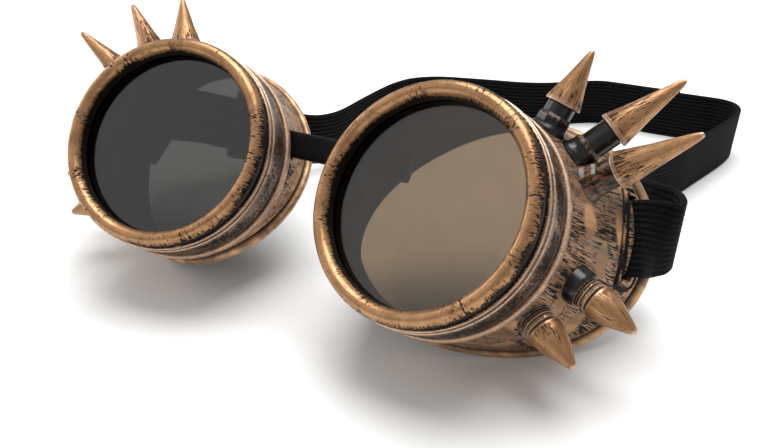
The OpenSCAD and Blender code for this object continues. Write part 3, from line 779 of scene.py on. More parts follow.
def woven_elastic(tree, look):
    # Woven polyester elastic: matt black yarn; the picks are drawn 0.9 mm apart, twice their real
    # spacing, so that they show
    lay = marks(tree)[0]
    across, run = add(tree, "SeparateXYZ", (lay,), out=slice(2))
    pick, warp, crest = (
        add(tree, "Math", (add(tree, "Math", (place, 2 * math.pi / spacing), **TIMES),),
            operation=wave)
        for place, spacing, wave in (
            (run, 0.9, "SINE"), (across, 0.6, "SINE"), (across, STRAP_W / rib_count(), "COSINE"))
    )
    fuzz = surface_noise(tree, lay, 0.5, 0.5, 4.0)
    tint = add(tree, "Mix", (fuzz, look.elastic, scaled(look.elastic, 1.7)), **COLOURS)
    # Painted highlight: the rib crests are lightened towards dark grey, mottled by the fuzz, for
    # the light that they catch
    rubbed_and_sheen = add(tree, "MapRange", (crest, 0.2, 0.95), **SMOOTH)
    rubbed_and_sheen = add(tree, "Math", (rubbed_and_sheen, fuzz), **TIMES)
    tint = add(tree, "Mix", (rubbed_and_sheen, tint, look.elastic_crest_sheen), **COLOURS)
    height = add(tree, "Math", (pick, warp, fuzz), **TIMES_PLUS)
    shade(tree, relief=(0.5, 0.08, height), Base_Color=tint, Roughness=0.75,
          Specular_IOR_Level=0.06, Sheen_Weight=0.01, Sheen_Roughness=0.5)


def table_top(tree, _look):
    # Matt white laminate: even, with the faintest cloud in it
    white = bpy.context.scene.goggles_stage.table
    place = add(tree, "TexCoord", out=3)
    cloud = add(tree, "TexNoise", {"Vector": place, "Scale": 3.0, "Detail": 2.0})
    tint = add(tree, "Mix", (cloud, white, scaled(white, 0.985)), **COLOURS)
    shade(tree, Base_Color=tint, Roughness=0.55)


FINISHES = {
    "antique_copper_ring": bead_copper,
    "antique_copper_cone": cone_copper,
    "antique_copper_strokes": stroked_copper,
    "black_gloss_enamel": post_enamel,
    "smoked_polycarbonate_right": warm_smoke,
    "smoked_polycarbonate_left": shaded_smoke,
    "moulded_black_rubber": black_rubber,
    "woven_black_elastic": woven_elastic,
    "black_sewing_thread": sewing_thread,
    "moulded_black_nylon": moulded_nylon,
    "matt_white_laminate": table_top,
}


def finish_of(name):
    """The named material, made when it is first asked for."""
    material = bpy.data.materials.get(name)
    if not material:
        material = bpy.data.materials.new(name)
        material.use_nodes = True
        material.node_tree.nodes.clear()
        FINISHES[name](material.node_tree, bpy.context.scene.goggles_finish)
    return material


# ---------------------------------------------------------------- pieces


def on_cups(grids, finish, slot, body="cup", sharp=40.0, shift=(0, 0, 0), **ends):
    """The same pieces on both cups. A grid holds, for a piece's label, its points, lay and marks
    in the cup's own frame, and the nodes it stands for. Names, body and nodes get their side, and
    the shift, in mm and mirrored, lets the sides show different stretches of the finish."""
    for name, side in SIDES.items():
        for label, (points, lay, marked, *nodes) in grids.items():
            shell = surface(from_cup(points, side), lay + np.array(shift) * side, marked,
                            cols_round=True, **ends)
            piece(f"{label}_{name}", [shell], finish, f"{name}_{body}",
                  [f"{node}_{name}" for node in nodes], sharp)


def slot_gate(p, slot):
    """1 beside a slot and 0 away from it, with a straight fall between."""
    return np.clip((1.6 * slot.spread - np.abs(p - slot.clock)) / (0.5 * slot.spread), 0, 1)


def thread_ridge(a, p):
    """Two-start thread: a rounded ridge repeats each pitch and climbs two pitches a turn."""
    phase = (a / THREAD_PITCH + 2 * p / (2 * np.pi)) % 1
    return np.clip(1.6 - np.abs(phase - 0.5) * 5, 0, 1)


class GOGGLES_OT_cups(bpy.types.Operator):
    """Builds both eye cups: threaded neck, shoulder, stroked body, slots and face rim"""

    bl_idname = "goggles.cups"
    bl_label = "Eye cups"

    # Smooth leaf-shaped spots on the body: clock, depth, half width, half length
    LEAVES = (
        (13, 23.4, 2.0, 4.4), (0, 31.4, 2.0, 4.6), (-18, 25, 2.2, 4.8), (15, 37.0, 1.8, 5.2),
        (78, 22, 2.0, 4.6), (95, 28, 2.0, 4.2), (115, 20.5, 1.8, 4.4), (135, 26, 1.8, 4.0),
        (-60, 30, 2.0, 4.8), (-75, 21.5, 1.9, 4.2), (-95, 19.5, 1.5, 4.0), (-120, 18.4, 1.2, 3.6),
        (35, 40, 2.0, 4.6), (60, 36, 2.0, 4.8), (-30, 38, 2.2, 4.6), (-48, 20, 1.9, 4.2),
        (175, 24, 1.5, 3.8), (-150, 18.6, 1.2, 3.2),
    )

    def columns(self, count):
        """Clock angles round the cup, with a line on each side edge of the two slots, and the
        numbers of each slot's two lines."""
        p = np.linspace(-np.pi, np.pi, count, endpoint=False)
        lines = {}
        for slot in (STRAP_SLOT, BRIDGE_SLOT):
            lines[slot] = tuple(int(np.abs(p - edge).argmin()) for edge in slot.sides)
            p[list(lines[slot])] = slot.sides
        return p, lines

    def wall_depth(self, share, p):
        """Depth of the wall at a share of its length. Beside a slot the shares are bent so that
        two of them lie on the slot's front and rear edges."""
        back = rim_depth(p) - RIM_ZONE
        depth = WALL_FRONT + share * (back - WALL_FRONT)
        for slot in (BRIDGE_SLOT, STRAP_SLOT):
            rear = slot.shares[1]
            bent = np.interp(share, [0, *slot.shares], [WALL_FRONT, *slot.depths])
            bent = bent + (back - slot.depths[1]) * np.clip((share - rear) / (1 - rear), 0, 1)
            near = slot_gate(p, slot)
            depth = depth + (bent - depth) * near * near * (3 - 2 * near)
        return depth

    def leaves(self, a, p):
        """Smooth spots: 1 inside each oval of the list, fading at its edge."""
        out = np.zeros_like(a)
        for clock, depth, half_w, half_l in self.LEAVES:
            gap = (p - math.radians(clock) + np.pi) % (2 * np.pi) - np.pi
            along = body_radius(a, p) * gap / half_l
            across = (a - depth + 0.7 * np.sin(along * 1.5)) / half_w
            reach = np.hypot(across / np.clip(1.25 - 0.35 * along ** 2, 0.4, 2), along)
            out = np.maximum(out, np.clip((1.12 - reach) / 0.24, 0, 1))
        return out

    def execute(self, context):
        form = context.scene.goggles_form
        step = form.row_step / MM
        p, lines = self.columns(form.cup_columns)
        p = p[None]

        neck = soften([
            (BORE_R, WALL_FRONT, 0, 0, 0, 1), (BORE_R, NECK_FRONT, 0.3, 0, 0, 1),
            (NECK_R, NECK_FRONT, 0.3, 0, 0, 1), (NECK_R, NECK_FRONT + 0.4, 0, 0, 0, 1),
        ], step)
        thread_a = np.arange(NECK_FRONT + 0.5, THREAD_END, 0.16)[:, None]
        fade = np.clip(np.minimum(thread_a - thread_a[0], thread_a[-1] - thread_a) / 0.6, 0, 1)
        shoulder = soften([
            (NECK_R, 13.0, 0, 0, 0, 1), (NECK_R, SHOULDER[0], 0.1, 0, 0, 1),
            (SHOULDER_R - 0.2, SHOULDER[0], 0.35, 0.4, 1, 0.1),
            (SHOULDER_R, 14.2, 0.2, 0.8, 0.3), (SHOULDER_R, SHOULDER[1], 0.35, 0.4, 1, 0.1),
            (BODY_R - 0.25, SHOULDER[1] + 0.1, 0.1, 0, 0, 1),
        ], step)
        shares = np.unique(np.concatenate([
            np.linspace(0, 1, 54), np.linspace(0.66, 0.98, 34), BRIDGE_SLOT.shares,
            STRAP_SLOT.shares,
        ]))
        # Rim rows: distance in front of the rim's edge, offset from the body, tone, edge, dirt
        rim = soften([
            (RIM_ZONE - 0.05, 0, 0, 0.2), (RIM_ZONE - 0.5, 0, 0.2, 0.3, 0.7),
            (RIM_ZONE - 0.9, -0.5, 0.15, 0, 0, 1), (RIM_BEAD_W + 0.25, -0.5, 0.15, 0, 0, 1),
            (RIM_BEAD_W * 0.9, 1.0, 0.3, 1, 0.2), (RIM_BEAD_W * 0.45, RIM_BEAD, 0.5, 1, 0.5),
            (0.25, RIM_BEAD * 0.85, 0.4, 1, 0.6), (0, 0.2, 0.3, 0.8),
            (0, -WALL * 0.7, 0.4, 0.3, 0.3, 0.5), (0.6, -WALL, 0.4, 0, 0, 1),
            (RIM_ZONE, -WALL, 0, 0, 0, 1),
        ], step * 0.8)
        outer_a, inner_a = (self.wall_depth(s[:, None], p) for s in (shares, shares[::-1]))
        relief, groove = slot_frame_relief(outer_a, p, form.slot_frame / MM)
        front_dirt = np.clip(1 - (outer_a - WALL_FRONT) / 1.4, 0, 1) * 0.6
        spots = [self.leaves(outer_a, p), 0 * outer_a, np.clip(groove, front_dirt, 1)]
        rim_a = rim_depth(p) - rim[:, :1]
        offset = np.interp(shares[::-1], [0, 0.35, 0.7], [WALL + WALL_EXTRA, WALL + 0.3, WALL])

        # Depth, radius and marks of each group of rows, from the bore round the rim to the bore
        groups = [
            (neck[:, 1:2], neck[:, :1], neck[:, None, 2:]),
            (thread_a, NECK_R + form.thread_height / MM * fade * thread_ridge(thread_a, p), DIRTY),
            (shoulder[:, 1:2], shoulder[:, :1], shoulder[:, None, 2:]),
            (outer_a, body_radius(outer_a, p) + relief, np.stack(spots, -1)),
            (rim_a, body_radius(rim_a, p) + rim[:, 1:2], rim[:, None, 2:]),
            (inner_a, body_radius(inner_a, p) - offset[:, None], DIRTY),
        ]
        first = np.cumsum([0] + [len(group[0]) for group in groups])
        a, r = (np.concatenate([group[k] + 0 * p for group in groups]) for k in (0, 1))
        finish = np.concatenate([
            np.broadcast_to(group[2], (len(group[0]), p.size, 3)) for group in groups
        ])
        clock = np.broadcast_to(p, a.shape).copy()
        inner = slice(first[5], None)
        for slot in (BRIDGE_SLOT, STRAP_SLOT):
            # Inside, a slot's sides keep their distance from its axis instead of their clock angle
            shrink = body_radius(a[inner], clock[inner]) / r[inner]
            bent = slot.axis + np.arcsin(
                np.clip(shrink * np.sin(clock[inner] - slot.axis), -1, 1)
            )
            clock[inner] += (bent - clock[inner]) * slot_gate(p, slot)
        points = round_cup(a, clock, r)
        run = run_along(points[:, 0])[:, None]
        lay = np.stack(np.broadcast_arrays(LAY_R * np.cos(p), LAY_R * np.sin(p), run), -1)
        holes = []
        for slot in (STRAP_SLOT, BRIDGE_SLOT):
            rows = np.array([int(np.abs(shares - m).argmin()) for m in slot.shares])
            holes.append((first[3] + rows, first[6] - 1 - rows, lines[slot]))
        on_cups({"cup": (points, lay, finish, "eye_cup")}, "antique_copper_strokes",
                "aged_copper", sharp=34, rows_round=True, holes=holes)
        return {"FINISHED"}


class GOGGLES_OT_posts(bpy.types.Operator):
    """Builds the posts that carry the spikes: a wide faceted foot and a neck"""

    bl_idname = "goggles.posts"
    bl_label = "Posts"

    def tall(self, top, tone):
        """Corners of a long cone's post, up to its top and down its bore."""
        wide = POST_SINK + POST_WIDE_H
        return [
            (0, 0, 0, tone), (POST_R + 0.5, 0, 0, tone), (POST_R + 0.5, 0.9, 0.4, tone),
            (POST_R, 2.3, 0.5, tone), (POST_R, wide - 0.8, 0.25, tone, 1),
            (POST_R - 0.55, wide, 0.25, tone, 1), (POST_NECK_R, wide, 0.3, tone),
            (POST_NECK_R, top, 0.2, tone * 0.5, 0.4), (STUD_R + 0.05, top, 0.1),
            (STUD_R + 0.05, top - STUD_L, 0), (0, top - STUD_L, 0),
        ]

    def short(self, top):
        """Corners of a short spike's post, which ends under the spike's collar."""
        top -= COLLAR_L
        return [
            (0, 0, 0), (POST_R + 0.5, 0, 0), (POST_R + 0.4, top - 1.2, 0.3),
            (POST_R, top, 0.3, 0, 0.8), (STUD_R + 0.05, top, 0.1),
            (STUD_R + 0.05, top - 0.8, 0), (0, top - 0.8, 0),
        ]

    def execute(self, context):
        step = context.scene.goggles_form.row_step / MM
        wide = POST_SINK + POST_WIDE_H
        grids = {}
        for label, spike in {**LONG_SPIKES, **SHORT_SPIKES}.items():
            top, facets = spike[4] + POST_SINK, None
            if label in LONG_SPIKES:
                profile = soften(self.tall(top, 0.75 if label == "side" else 0.0), step)
                facets = np.interp(profile[:, 1], [1.2, 2.4, wide - 0.01, wide + 0.2],
                                   [0, 1, 1, 0]) * (profile[:, 0] > POST_NECK_R + 0.05)
            else:
                profile = soften(self.short(top), step)
            points, lay, finish = turned(profile, 80, facets=facets)
            grids[f"post_{label}"] = on_wall(points, spike), lay, finish
        on_cups(grids, "black_gloss_enamel", "black_plastic", sharp=22)
        return {"FINISHED"}


class GOGGLES_OT_spikes(bpy.types.Operator):
    """Builds the long cones and the short bullets on their collars"""

    bl_idname = "goggles.spikes"
    bl_label = "Spikes"

    def cone(self, spike, step):
        """Profile of a long cone: a stud, a rolled base edge, a straight side and a round tip."""
        length = spike[5]
        profile = soften([
            (0, -STUD_L, 0, 0, 0, 1), (STUD_R, -STUD_L, 0, 0, 0, 1), (STUD_R, 0, 0, 0, 0, 1),
            (CONE_R - 0.7, 0, 0.1, 0, 0, 0.9), (CONE_R - 0.05, 0.05, 0.35, 0, 1),
            (CONE_R - 0.1, 0.75, 0.3, 0, 0.4, 0.5), (2.9, length * 0.4, 0, 0, 0, 0.25),
            (0.95, length - 1.3, 0.6, 0, 0, 0.05), (0.5, length - 0.1, 0.4, 0, 0.9),
            (0, length, 0, 0, 0.9),
        ], step, turns=6)
        profile[:, 1] += spike[4] + POST_SINK + 0.1
        return profile

    def bullet(self, spike, step):
        """Profile of a short spike: a collar with two grooves and a bullet whose radius falls by
        a power of its length."""
        r = BULLET_R - 0.3
        collar = [
            (0, -0.75, 0, 0, 0, 1), (STUD_R, -0.75, 0, 0, 0, 1), (STUD_R, 0, 0, 0, 0, 1),
            (r, 0, 0.25, 0, 0.3, 0.8), (r, 1.05, 0.12, 0, 0.6, 0.4), (r - 0.55, 1.25, 0.1, 0, 0, 1),
            (r, 1.5, 0.12, 0, 0.5, 0.4), (r, 2.25, 0.12, 0, 0.8, 0.3),
            (r - 0.55, 2.55, 0.1, 0, 0, 1), (BULLET_R, 3.05, 0.25, 0, 1),
            (BULLET_R, COLLAR_L + 0.8, 0.3, 0, 0, 0.3),
        ]
        nose = [
            (BULLET_R * (1 - q ** 1.35) + 0.6 * q, COLLAR_L + 1 + BULLET_L * q, 0, 0,
             0.9 * (q > 0.9), 0.3 * (1 - q)) for q in np.linspace(0, 0.94, 14)[1:]
        ]
        end = COLLAR_L + 1 + BULLET_L
        tip = [(0.6, end - 0.25, 0.2, 0, 0.9), (0, end, 0, 0, 0.9)]
        profile = soften(collar + nose + tip, step)
        profile[:, 1] += spike[4] + POST_SINK - COLLAR_L + 0.1
        return profile

    def execute(self, context):
        step = context.scene.goggles_form.row_step / MM
        grids = {}
        for kind, spikes, shape in (("long", LONG_SPIKES, self.cone),
                                    ("short", SHORT_SPIKES, self.bullet)):
            for label, spike in spikes.items():
                points, lay, finish = turned(shape(spike, step), 72, wave=0.02)
                # Each spike shows another stretch of the finish
                grids[f"{kind}_cone_{label}"] = (
                    on_wall(points, spike), lay + [7 * spike[1], 0, 0], finish,
                    f"{kind}_spike_{label}",
                )
        on_cups(grids, "antique_copper_cone", "copper", sharp=45)
        return {"FINISHED"}


class GOGGLES_OT_rings(bpy.types.Operator):
    """Builds the screw rings: round bead, grooves, thin lip, band and inner thread"""

    bl_idname = "goggles.rings"
    bl_label = "Screw rings"

    def execute(self, context):
        form = context.scene.goggles_form
        step = form.row_step / MM
        # The bead's section is part of an oval, and its dirt lies along both of its edges
        bead_w = (RING_R - 0.9 - OPENING_R) / 2
        turns = np.linspace(180, -50, 40)
        dirt = np.interp(turns, [-50, -12, 22, 60, 115, 155, 180],
                         [1, 1, 0.42, 0.1, 0.08, 0.28, 0.9])
        bead = [
            (OPENING_R + bead_w + bead_w * math.cos(q), 0.6 - 2.6 * math.sin(q), 0, 0, 0, d)
            for q, d in zip(np.radians(turns), dirt)
        ]
        outer = soften([
            (OPENING_R + 0.5, 2.5, 0, 0, 0, 1), (OPENING_R, 2.3, 0.15, 0, 0, 1), *bead,
            (28.6, 2.84, 0.05, 0, 0, 1), (28.6, 3.0, 0.05, 0, 0, 1),
            (29.5, 3.3, 0.15, 0.7, 1), (29.5, 4.32, 0.15, 0.7, 1),
            (28.6, 4.56, 0.05, 0, 0, 1), (28.6, 4.72, 0.05, 0, 0, 1),
            (29.8, 5.06, 0.2, 0.8, 1), (RING_R, 7.9, 0.6, 1, 0, 0.45),
            (29.8, 11.9, 0.2, 0.9, 0.5, 0.5), (29.3, RING_BACK, 0.2, 0.4, 1, 0.3),
            (SKIRT_R, RING_BACK, 0.2, 0, 0, 1), (SKIRT_R, 12.2, 0, 0, 0, 1),
        ], step)
        thread_a = np.arange(12.1, 4.9, -0.15)
        count = len(thread_a)
        inner = np.c_[np.full(count, SKIRT_R), thread_a, np.tile(DIRTY, (count, 1))]
        tail = soften([(SKIRT_R, 4.8, 0, 0, 0, 1), (SKIRT_R, 2.5, 0.1, 0, 0, 1),
                       (OPENING_R + 0.6, 2.5, 0, 0, 0, 1)], step)
        profile = np.concatenate([outer, inner, tail])
        points, lay, finish = turned(profile, form.cup_columns, up=-1)
        p = np.linspace(-np.pi, np.pi, form.cup_columns, endpoint=False)
        fade = np.clip(np.minimum(np.arange(count), np.arange(count)[::-1]) / 4, 0, 1)
        dip = 0.2 * thread_ridge(thread_a[:, None], p) * fade[:, None]
        rows = slice(len(outer), len(outer) + count)
        points[rows, :, 0] -= dip * np.cos(p)
        points[rows, :, 1] -= dip * np.sin(p)
        on_bead = np.clip(1 - np.abs(profile[:, 1] + 0.7) / 1.6, 0, 1) * (profile[:, 0] < 29)
        points[..., 2] -= 0.8 * on_bead[:, None] * np.abs(form.bead_wave / MM * unevenness(p))
        on_cups({"ring": (points, lay, finish, "screw_ring")}, "antique_copper_ring", "copper",
                body="ring", sharp=45, shift=(0, 0, 40), rows_round=True)
        return {"FINISHED"}


class GOGGLES_OT_lenses(bpy.types.Operator):
    """Builds the smoked lenses with their ground edges, and the rubber seals behind them"""

    bl_idname = "goggles.lenses"
    bl_label = "Lenses and seals"

    def execute(self, context):
        front, back = LENS_DEPTHS
        # The front is a very flat dome, whose depth grows with the square of the radius
        dome = [(q, front + 0.2 * (q / LENS_R) ** 2) for q in np.linspace(0, LENS_R - 0.35, 40)]
        edge = [
            (LENS_R, front + 0.5, 0.12, 0, 1), (LENS_R, back - 0.3, 0.12, 0, 1),
            (LENS_R - 0.3, back, 0.12), (0, back),
        ]
        lens, _, lens_finish = turned(soften(dome + edge, 1.2), 160, up=-1)
        (low, high), (near, far) = SEAL_R, SEAL_DEPTHS
        lip = [(high - 0.6, near, 0.2), (high, near, 0.2), (high, far, 0.2), (low, far, 0.25),
               (low, near, 0.25), (high - 0.6, near)]
        seal, seal_lay, seal_finish = turned(
            soften(lip, context.scene.goggles_form.row_step / MM), 160, up=-1
        )
        for name, side in SIDES.items():
            disc = surface(from_cup(lens, side), lens, lens_finish, cols_round=True)
            piece(f"lens_glass_{name}", [disc], f"smoked_polycarbonate_{name}", f"{name}_lens",
                  [f"lens_{name}"])
            band = surface(from_cup(seal, side), seal_lay, seal_finish, rows_round=True,
                           cols_round=True)
            piece(f"seal_{name}", [band], "moulded_black_rubber", f"{name}_cup",
                  [f"lens_seal_{name}"])
        return {"FINISHED"}


def cup_place(a, p, r):
    """A point of the right cup in the row frame, before the shift to the base's middle."""
    return from_cup(round_cup(np.float64(a), p, r), 1) + MIDDLE


def slot_radius():
    return float(body_radius(SLOT_DEPTH, SLOT_CLOCK))


def strap_fold():
    """The strap's turning point beside the right temple."""
    return cup_place(SLOT_DEPTH, SLOT_CLOCK, slot_radius()) + FOLD_OUT * np.array([1, 0.58, -0.15])


def hem_radius():
    """Radius of the hem's middle inside the cup: its edges clear the wall by a little."""
    spread = math.asin(HEM_HALF[0] / (slot_radius() - WALL))
    wall = min(
        body_radius(SLOT_DEPTH - HEM_HALF[2], SLOT_CLOCK + k * spread) for k in (-1, 0, 1)
    )
    wall = float(wall) - WALL - WALL_EXTRA * 0.2
    return math.sqrt(wall * wall - HEM_HALF[0] ** 2) - 0.3 - HEM_HALF[1]


class GOGGLES_OT_straps(bpy.types.Operator):
    """Builds the ribbed elastic from each cup's slot, round its fold, to the lap behind"""

    bl_idname = "goggles.straps"
    bl_label = "Head strap"

    def execute(self, context):
        fold, r, steps = strap_fold(), slot_radius(), 8
        leave = cup_place(SLOT_DEPTH + 0.375, SLOT_CLOCK, r + 1.5)
        start = [
            cup_place(SLOT_DEPTH, SLOT_CLOCK, hem_radius() + 0.4),
            cup_place(SLOT_DEPTH, SLOT_CLOCK, r), leave, leave + (fold - leave) * 0.4,
            leave + (fold - leave) * 0.8, fold + [0.55, 1.6, 0],
        ]
        # The width turns from the slot's tangent to upright over the path's first points
        tangent = unit(cup_place(SLOT_DEPTH, SLOT_CLOCK + np.pi / 2, 1.0)
                       - cup_place(SLOT_DEPTH, 0.0, 0.0))
        leaning = [0, 0, 0.1, 0.45, 0.85, 1.0]
        section = ribbed_section(context.scene.goggles_form.rib_depth / MM, STRAP_T)
        for name, side in SIDES.items():
            route = RIGHT_ROUTE if side > 0 else LEFT_ROUTE
            way = [fold * [1, 1, 0] + [q[0], q[1], q[2] + STRAP_W / 2] for q in route]
            path = smooth_path(start + way, steps)
            path[:, 2] = np.maximum(path[:, 2], STRAP_W / 2)
            lean = np.interp(np.arange(len(path)) / steps, np.arange(len(leaning)), leaning)
            ups = tangent + ([0, 0, 1] - tangent) * lean[:, None]
            # At the lap behind, the last stretch is thinner
            run = run_along(path)
            thin = 1 - 0.45 * np.clip(1 - (run[-1] - run) / 5, 0, 1)
            path, ups = path * [side, 1, 1] - MIDDLE, ups * [side, 1, 1]
            band = ribbon(path, ups, section * [1, side], thin)
            strap = piece(f"elastic_{name}", [band], "woven_black_elastic", None,
                          [f"head_strap_{name}", f"strap_end_{name}"], sharp=60)
            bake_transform(strap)
        return {"FINISHED"}


class GOGGLES_OT_hems(bpy.types.Operator):
    """Builds the sewn hem that keeps each strap end in its cup, with its stitches"""

    bl_idname = "goggles.hems"
    bl_label = "Hems"

    def execute(self, context):
        stitch = context.scene.goggles_form.stitch / MM
        axes = np.array([[0.0, 1, 0], [1, 0, 0], [0, 0, 1]]) @ turn("z", 14).T
        centre = round_cup(np.float64(SLOT_DEPTH), SLOT_CLOCK, hem_radius())
        block = bar(centre, axes, HEM_HALF, corner=1.1, count=48)
        x, z = np.meshgrid(
            np.arange(-HEM_HALF[0] + 1.4, HEM_HALF[0] - 1.4, stitch), (-1.9, 1.9))
        a = np.stack([x, np.full_like(x, -HEM_HALF[1] - 0.02), z], -1).reshape(-1, 3)
        b = a + [stitch * STITCH_SHARE, 0, 0]
        for name, side in SIDES.items():
            roll = (from_cup(block[0], side), *block[1:])
            piece(f"hem_{name}", [roll], "woven_black_elastic", f"{name}_cup",
                  sharp=60)
            ends = (from_cup(centre + v @ axes, side) for v in (a, b))
            inward = unit(from_cup(centre, side) - from_cup(centre * [1.2, 1.2, 1], side))
            piece(f"hem_stitches_{name}", stitches(*ends, inward), "black_sewing_thread",
                  f"{name}_cup")
        return {"FINISHED"}


class GOGGLES_OT_lap_stitching(bpy.types.Operator):
    """Sews a crossed box of stitches through the strap's lap behind"""

    bl_idname = "goggles.lap_stitching"
    bl_label = "Lap stitching"

    def execute(self, context):
        stitch = context.scene.goggles_form.stitch / MM
        rear = strap_fold()[1] + LEFT_ROUTE[-1][1] + STRAP_T / 2 - MIDDLE[1] - 0.02
        (x0, x1), (z0, z1) = LAP_BOX - MIDDLE[[0, 2]][:, None]
        around = [(x0, z0), (x1, z0), (x1, z1), (x0, z1), (x0, z0), (x1, z1)]
        a, b = [], []
        for line in [*zip(around[:-1], around[1:]), ((x1, z0), (x0, z1))]:
            start, end = np.array(line)
            count = int(np.linalg.norm(end - start) // stitch)
            t = (np.arange(count) + 0.14) / count
            for ends, shift in ((a, 0), (b, STITCH_SHARE / count)):
                flat = start + (end - start) * (t + shift)[:, None]
                ends.append(np.stack([flat[:, 0], np.full(count, rear), flat[:, 1]], -1))
        sewn = stitches(np.concatenate(a), np.concatenate(b), np.array([0.0, 1.0, 0.0]))
        piece("lap_stitches", sewn, "black_sewing_thread", "left_strap")
        return {"FINISHED"}


class GOGGLES_OT_bridge(bpy.types.Operator):
    """Builds the rubber nose strip in two halves, each with the plug that holds it in its cup"""

    bl_idname = "goggles.bridge"
    bl_label = "Nose bridge"

    def execute(self, context):
        soft = 0.5
        x = np.concatenate([
            np.linspace(0, PLUG_START - 0.9, 60), np.linspace(PLUG_START - 0.9, PLUG_START, 8)[1:],
            PLUG_START + PLUG_L - soft + soft * np.sin(np.linspace(0, np.pi / 2, 6)),
        ])
        # The thickness widens over the strip's last stretch into the plug, and rounds its end
        grown = np.clip((x - PLUG_START + soft) / soft, 0, 1)
        thick = BRIDGE_T / 2 + (PLUG_T - BRIDGE_T) / 2 * np.sqrt(grown * (2 - grown))
        end = np.clip((x - PLUG_START - PLUG_L + soft) / soft, 0, 1)
        inset = soft * (1 - np.sqrt(1 - end ** 2 + 1e-9))
        local = carried(x, oblong(thick - inset, BRIDGE_W / 2 - inset, 0.35, 64))
        for name, side in SIDES.items():
            points = lay_back(local + [0, BRIDGE_Y, BRIDGE_Z]) * [side, 1, 1] - MIDDLE
            half = surface(points, lay=local, cols_round=True, capped=True)
            nodes = [f"bridge_plug_{name}"] + (["bridge_strap"] if side > 0 else [])
            strip = piece(f"nose_strip_{name}", [half], "moulded_black_rubber", None, nodes,
                          sharp=50)
            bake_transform(strip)
        return {"FINISHED"}


class GOGGLES_OT_slider(bpy.types.Operator):
    """Builds the strap slider: two rails, two front bars and a middle bar behind the strap"""

    bl_idname = "goggles.slider"
    bl_label = "Strap slider"

    def execute(self, context):
        fold = strap_fold()
        before, here, ahead = np.array(LEFT_ROUTE[SLIDER_AT - 1:SLIDER_AT + 2], float)
        centre = (fold * [1, 1, 0] + here) * [-1, 1, 1] + [0, 0, STRAP_W / 2] - MIDDLE
        along = unit((ahead - before) * [-1, 1, 1])
        up = unit(np.array([0, 0, 1.0]) - along * along[2])
        axes = np.array([along, np.cross(up, along), up])
        length, depth, height = SLIDER_SIZE
        rail, face = (height - SLIDER_BAR) / 2, (depth - SLIDER_BAR) / 2
        parts = [
            bar(centre + end * rail * up, axes, (length / 2, depth / 2, SLIDER_BAR / 2), 0.7)
            for end in (-1, 1)
        ] + [
            bar(centre + [x, y, 0] @ axes, axes[[2, 0, 1]], (rail, half, SLIDER_BAR / 2), 0.6)
            for x, y, half in ((-4.5, -face, 1.5), (4.5, -face, 1.5), (0, face, 2.0))
        ]
        piece("slider_frame", parts, "moulded_black_nylon", "slider", ["strap_slider"],
              sharp=60)
        return {"FINISHED"}


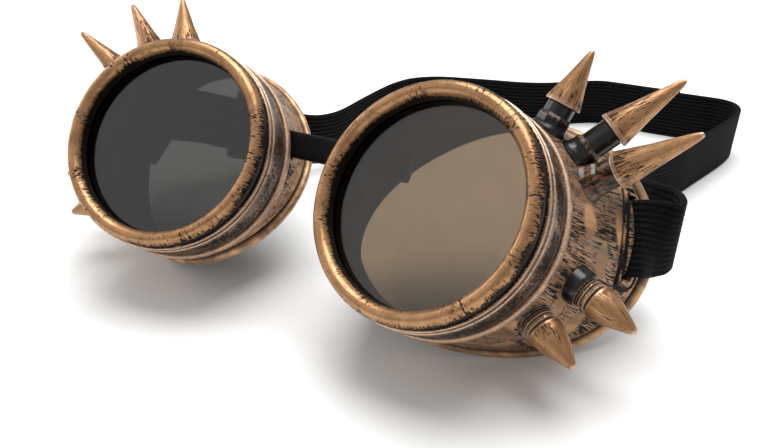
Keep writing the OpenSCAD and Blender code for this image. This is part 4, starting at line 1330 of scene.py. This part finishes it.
class GOGGLES_OT_stage(bpy.types.Operator):
    """Sets up the pale table, the soft light and the camera"""

    bl_idname = "goggles.stage"
    bl_label = "Stage"

    def execute(self, context):
        scene = context.scene
        mesh = bpy.data.meshes.new("table")
        mesh.from_pydata([(-TABLE_HALF, -TABLE_HALF, 0), (TABLE_HALF, -TABLE_HALF, 0),
                          (TABLE_HALF, TABLE_HALF, 0), (-TABLE_HALF, TABLE_HALF, 0)], [],
                         [(0, 1, 2, 3)])
        mesh.materials.append(finish_of("matt_white_laminate"))
        table = bpy.data.objects.new("table", mesh)
        scene.collection.objects.link(table)

        world = bpy.data.worlds.new("white_room")
        world.use_nodes = True
        back = world.node_tree.nodes["Background"]
        back.inputs["Color"].default_value = (1, 1, 1, 1)
        back.inputs["Strength"].default_value = scene.goggles_stage.sky
        scene.world = world
        for name, (place, edge, share) in SOFTBOXES.items():
            light = bpy.data.lights.new(name, "AREA")
            light.size = edge
            light.energy = scene.goggles_stage.key * share
            lamp = bpy.data.objects.new(name, light)
            lamp.location = place
            aim = Vector(LIT_POINT) - Vector(place)
            lamp.rotation_euler = aim.to_track_quat("-Z", "Y").to_euler()
            scene.collection.objects.link(lamp)

        camera = bpy.data.objects.new("camera", bpy.data.cameras.new("camera"))
        camera.data.sensor_width, camera.data.lens = CAMERA_OPTICS
        camera.data.clip_start = 0.01
        camera.location = CAMERA_AT
        azimuth, elevation = (math.radians(v) for v in CAMERA_FROM)
        view = Vector((-math.sin(azimuth) * math.cos(elevation),
                       math.cos(azimuth) * math.cos(elevation), -math.sin(elevation)))
        camera.rotation_euler = view.to_track_quat("-Z", "Y").to_euler()
        scene.collection.objects.link(camera)
        scene.camera = camera
        scene.view_settings.view_transform = "Standard"
        return {"FINISHED"}


PIECES = (
    GOGGLES_OT_stage, GOGGLES_OT_cups, GOGGLES_OT_posts, GOGGLES_OT_spikes, GOGGLES_OT_rings,
    GOGGLES_OT_lenses, GOGGLES_OT_straps, GOGGLES_OT_hems, GOGGLES_OT_lap_stitching,
    GOGGLES_OT_bridge, GOGGLES_OT_slider,
)


class GOGGLES_PT_panel(bpy.types.Panel):
    """Lists the goggles' pieces and settings"""

    bl_idname = "GOGGLES_PT_panel"
    bl_label = "Spiked goggles"
    bl_space_type = "VIEW_3D"
    bl_region_type = "UI"
    bl_category = "Goggles"

    def draw(self, context):
        for kind in PIECES:
            self.layout.operator(kind.bl_idname)
        for group in ("goggles_form", "goggles_finish", "goggles_stage"):
            box = self.layout.box()
            settings = getattr(context.scene, group)
            for key in settings.__annotations__:
                box.prop(settings, key)


GROUPS = {
    "goggles_form": GogglesForm,
    "goggles_finish": GogglesFinish,
    "goggles_stage": GogglesStage,
}


def register():
    for kind in (*GROUPS.values(), *PIECES, GOGGLES_PT_panel):
        bpy.utils.register_class(kind)
    for name, kind in GROUPS.items():
        setattr(bpy.types.Scene, name, PointerProperty(type=kind))


def unregister():
    for name in GROUPS:
        delattr(bpy.types.Scene, name)
    for kind in (GOGGLES_PT_panel, *reversed(PIECES), *GROUPS.values()):
        bpy.utils.unregister_class(kind)


def main():
    register()
    for kind in PIECES:
        group, name = kind.bl_idname.split(".")
        getattr(getattr(bpy.ops, group), name)()


if __name__ == "__main__":
    main()
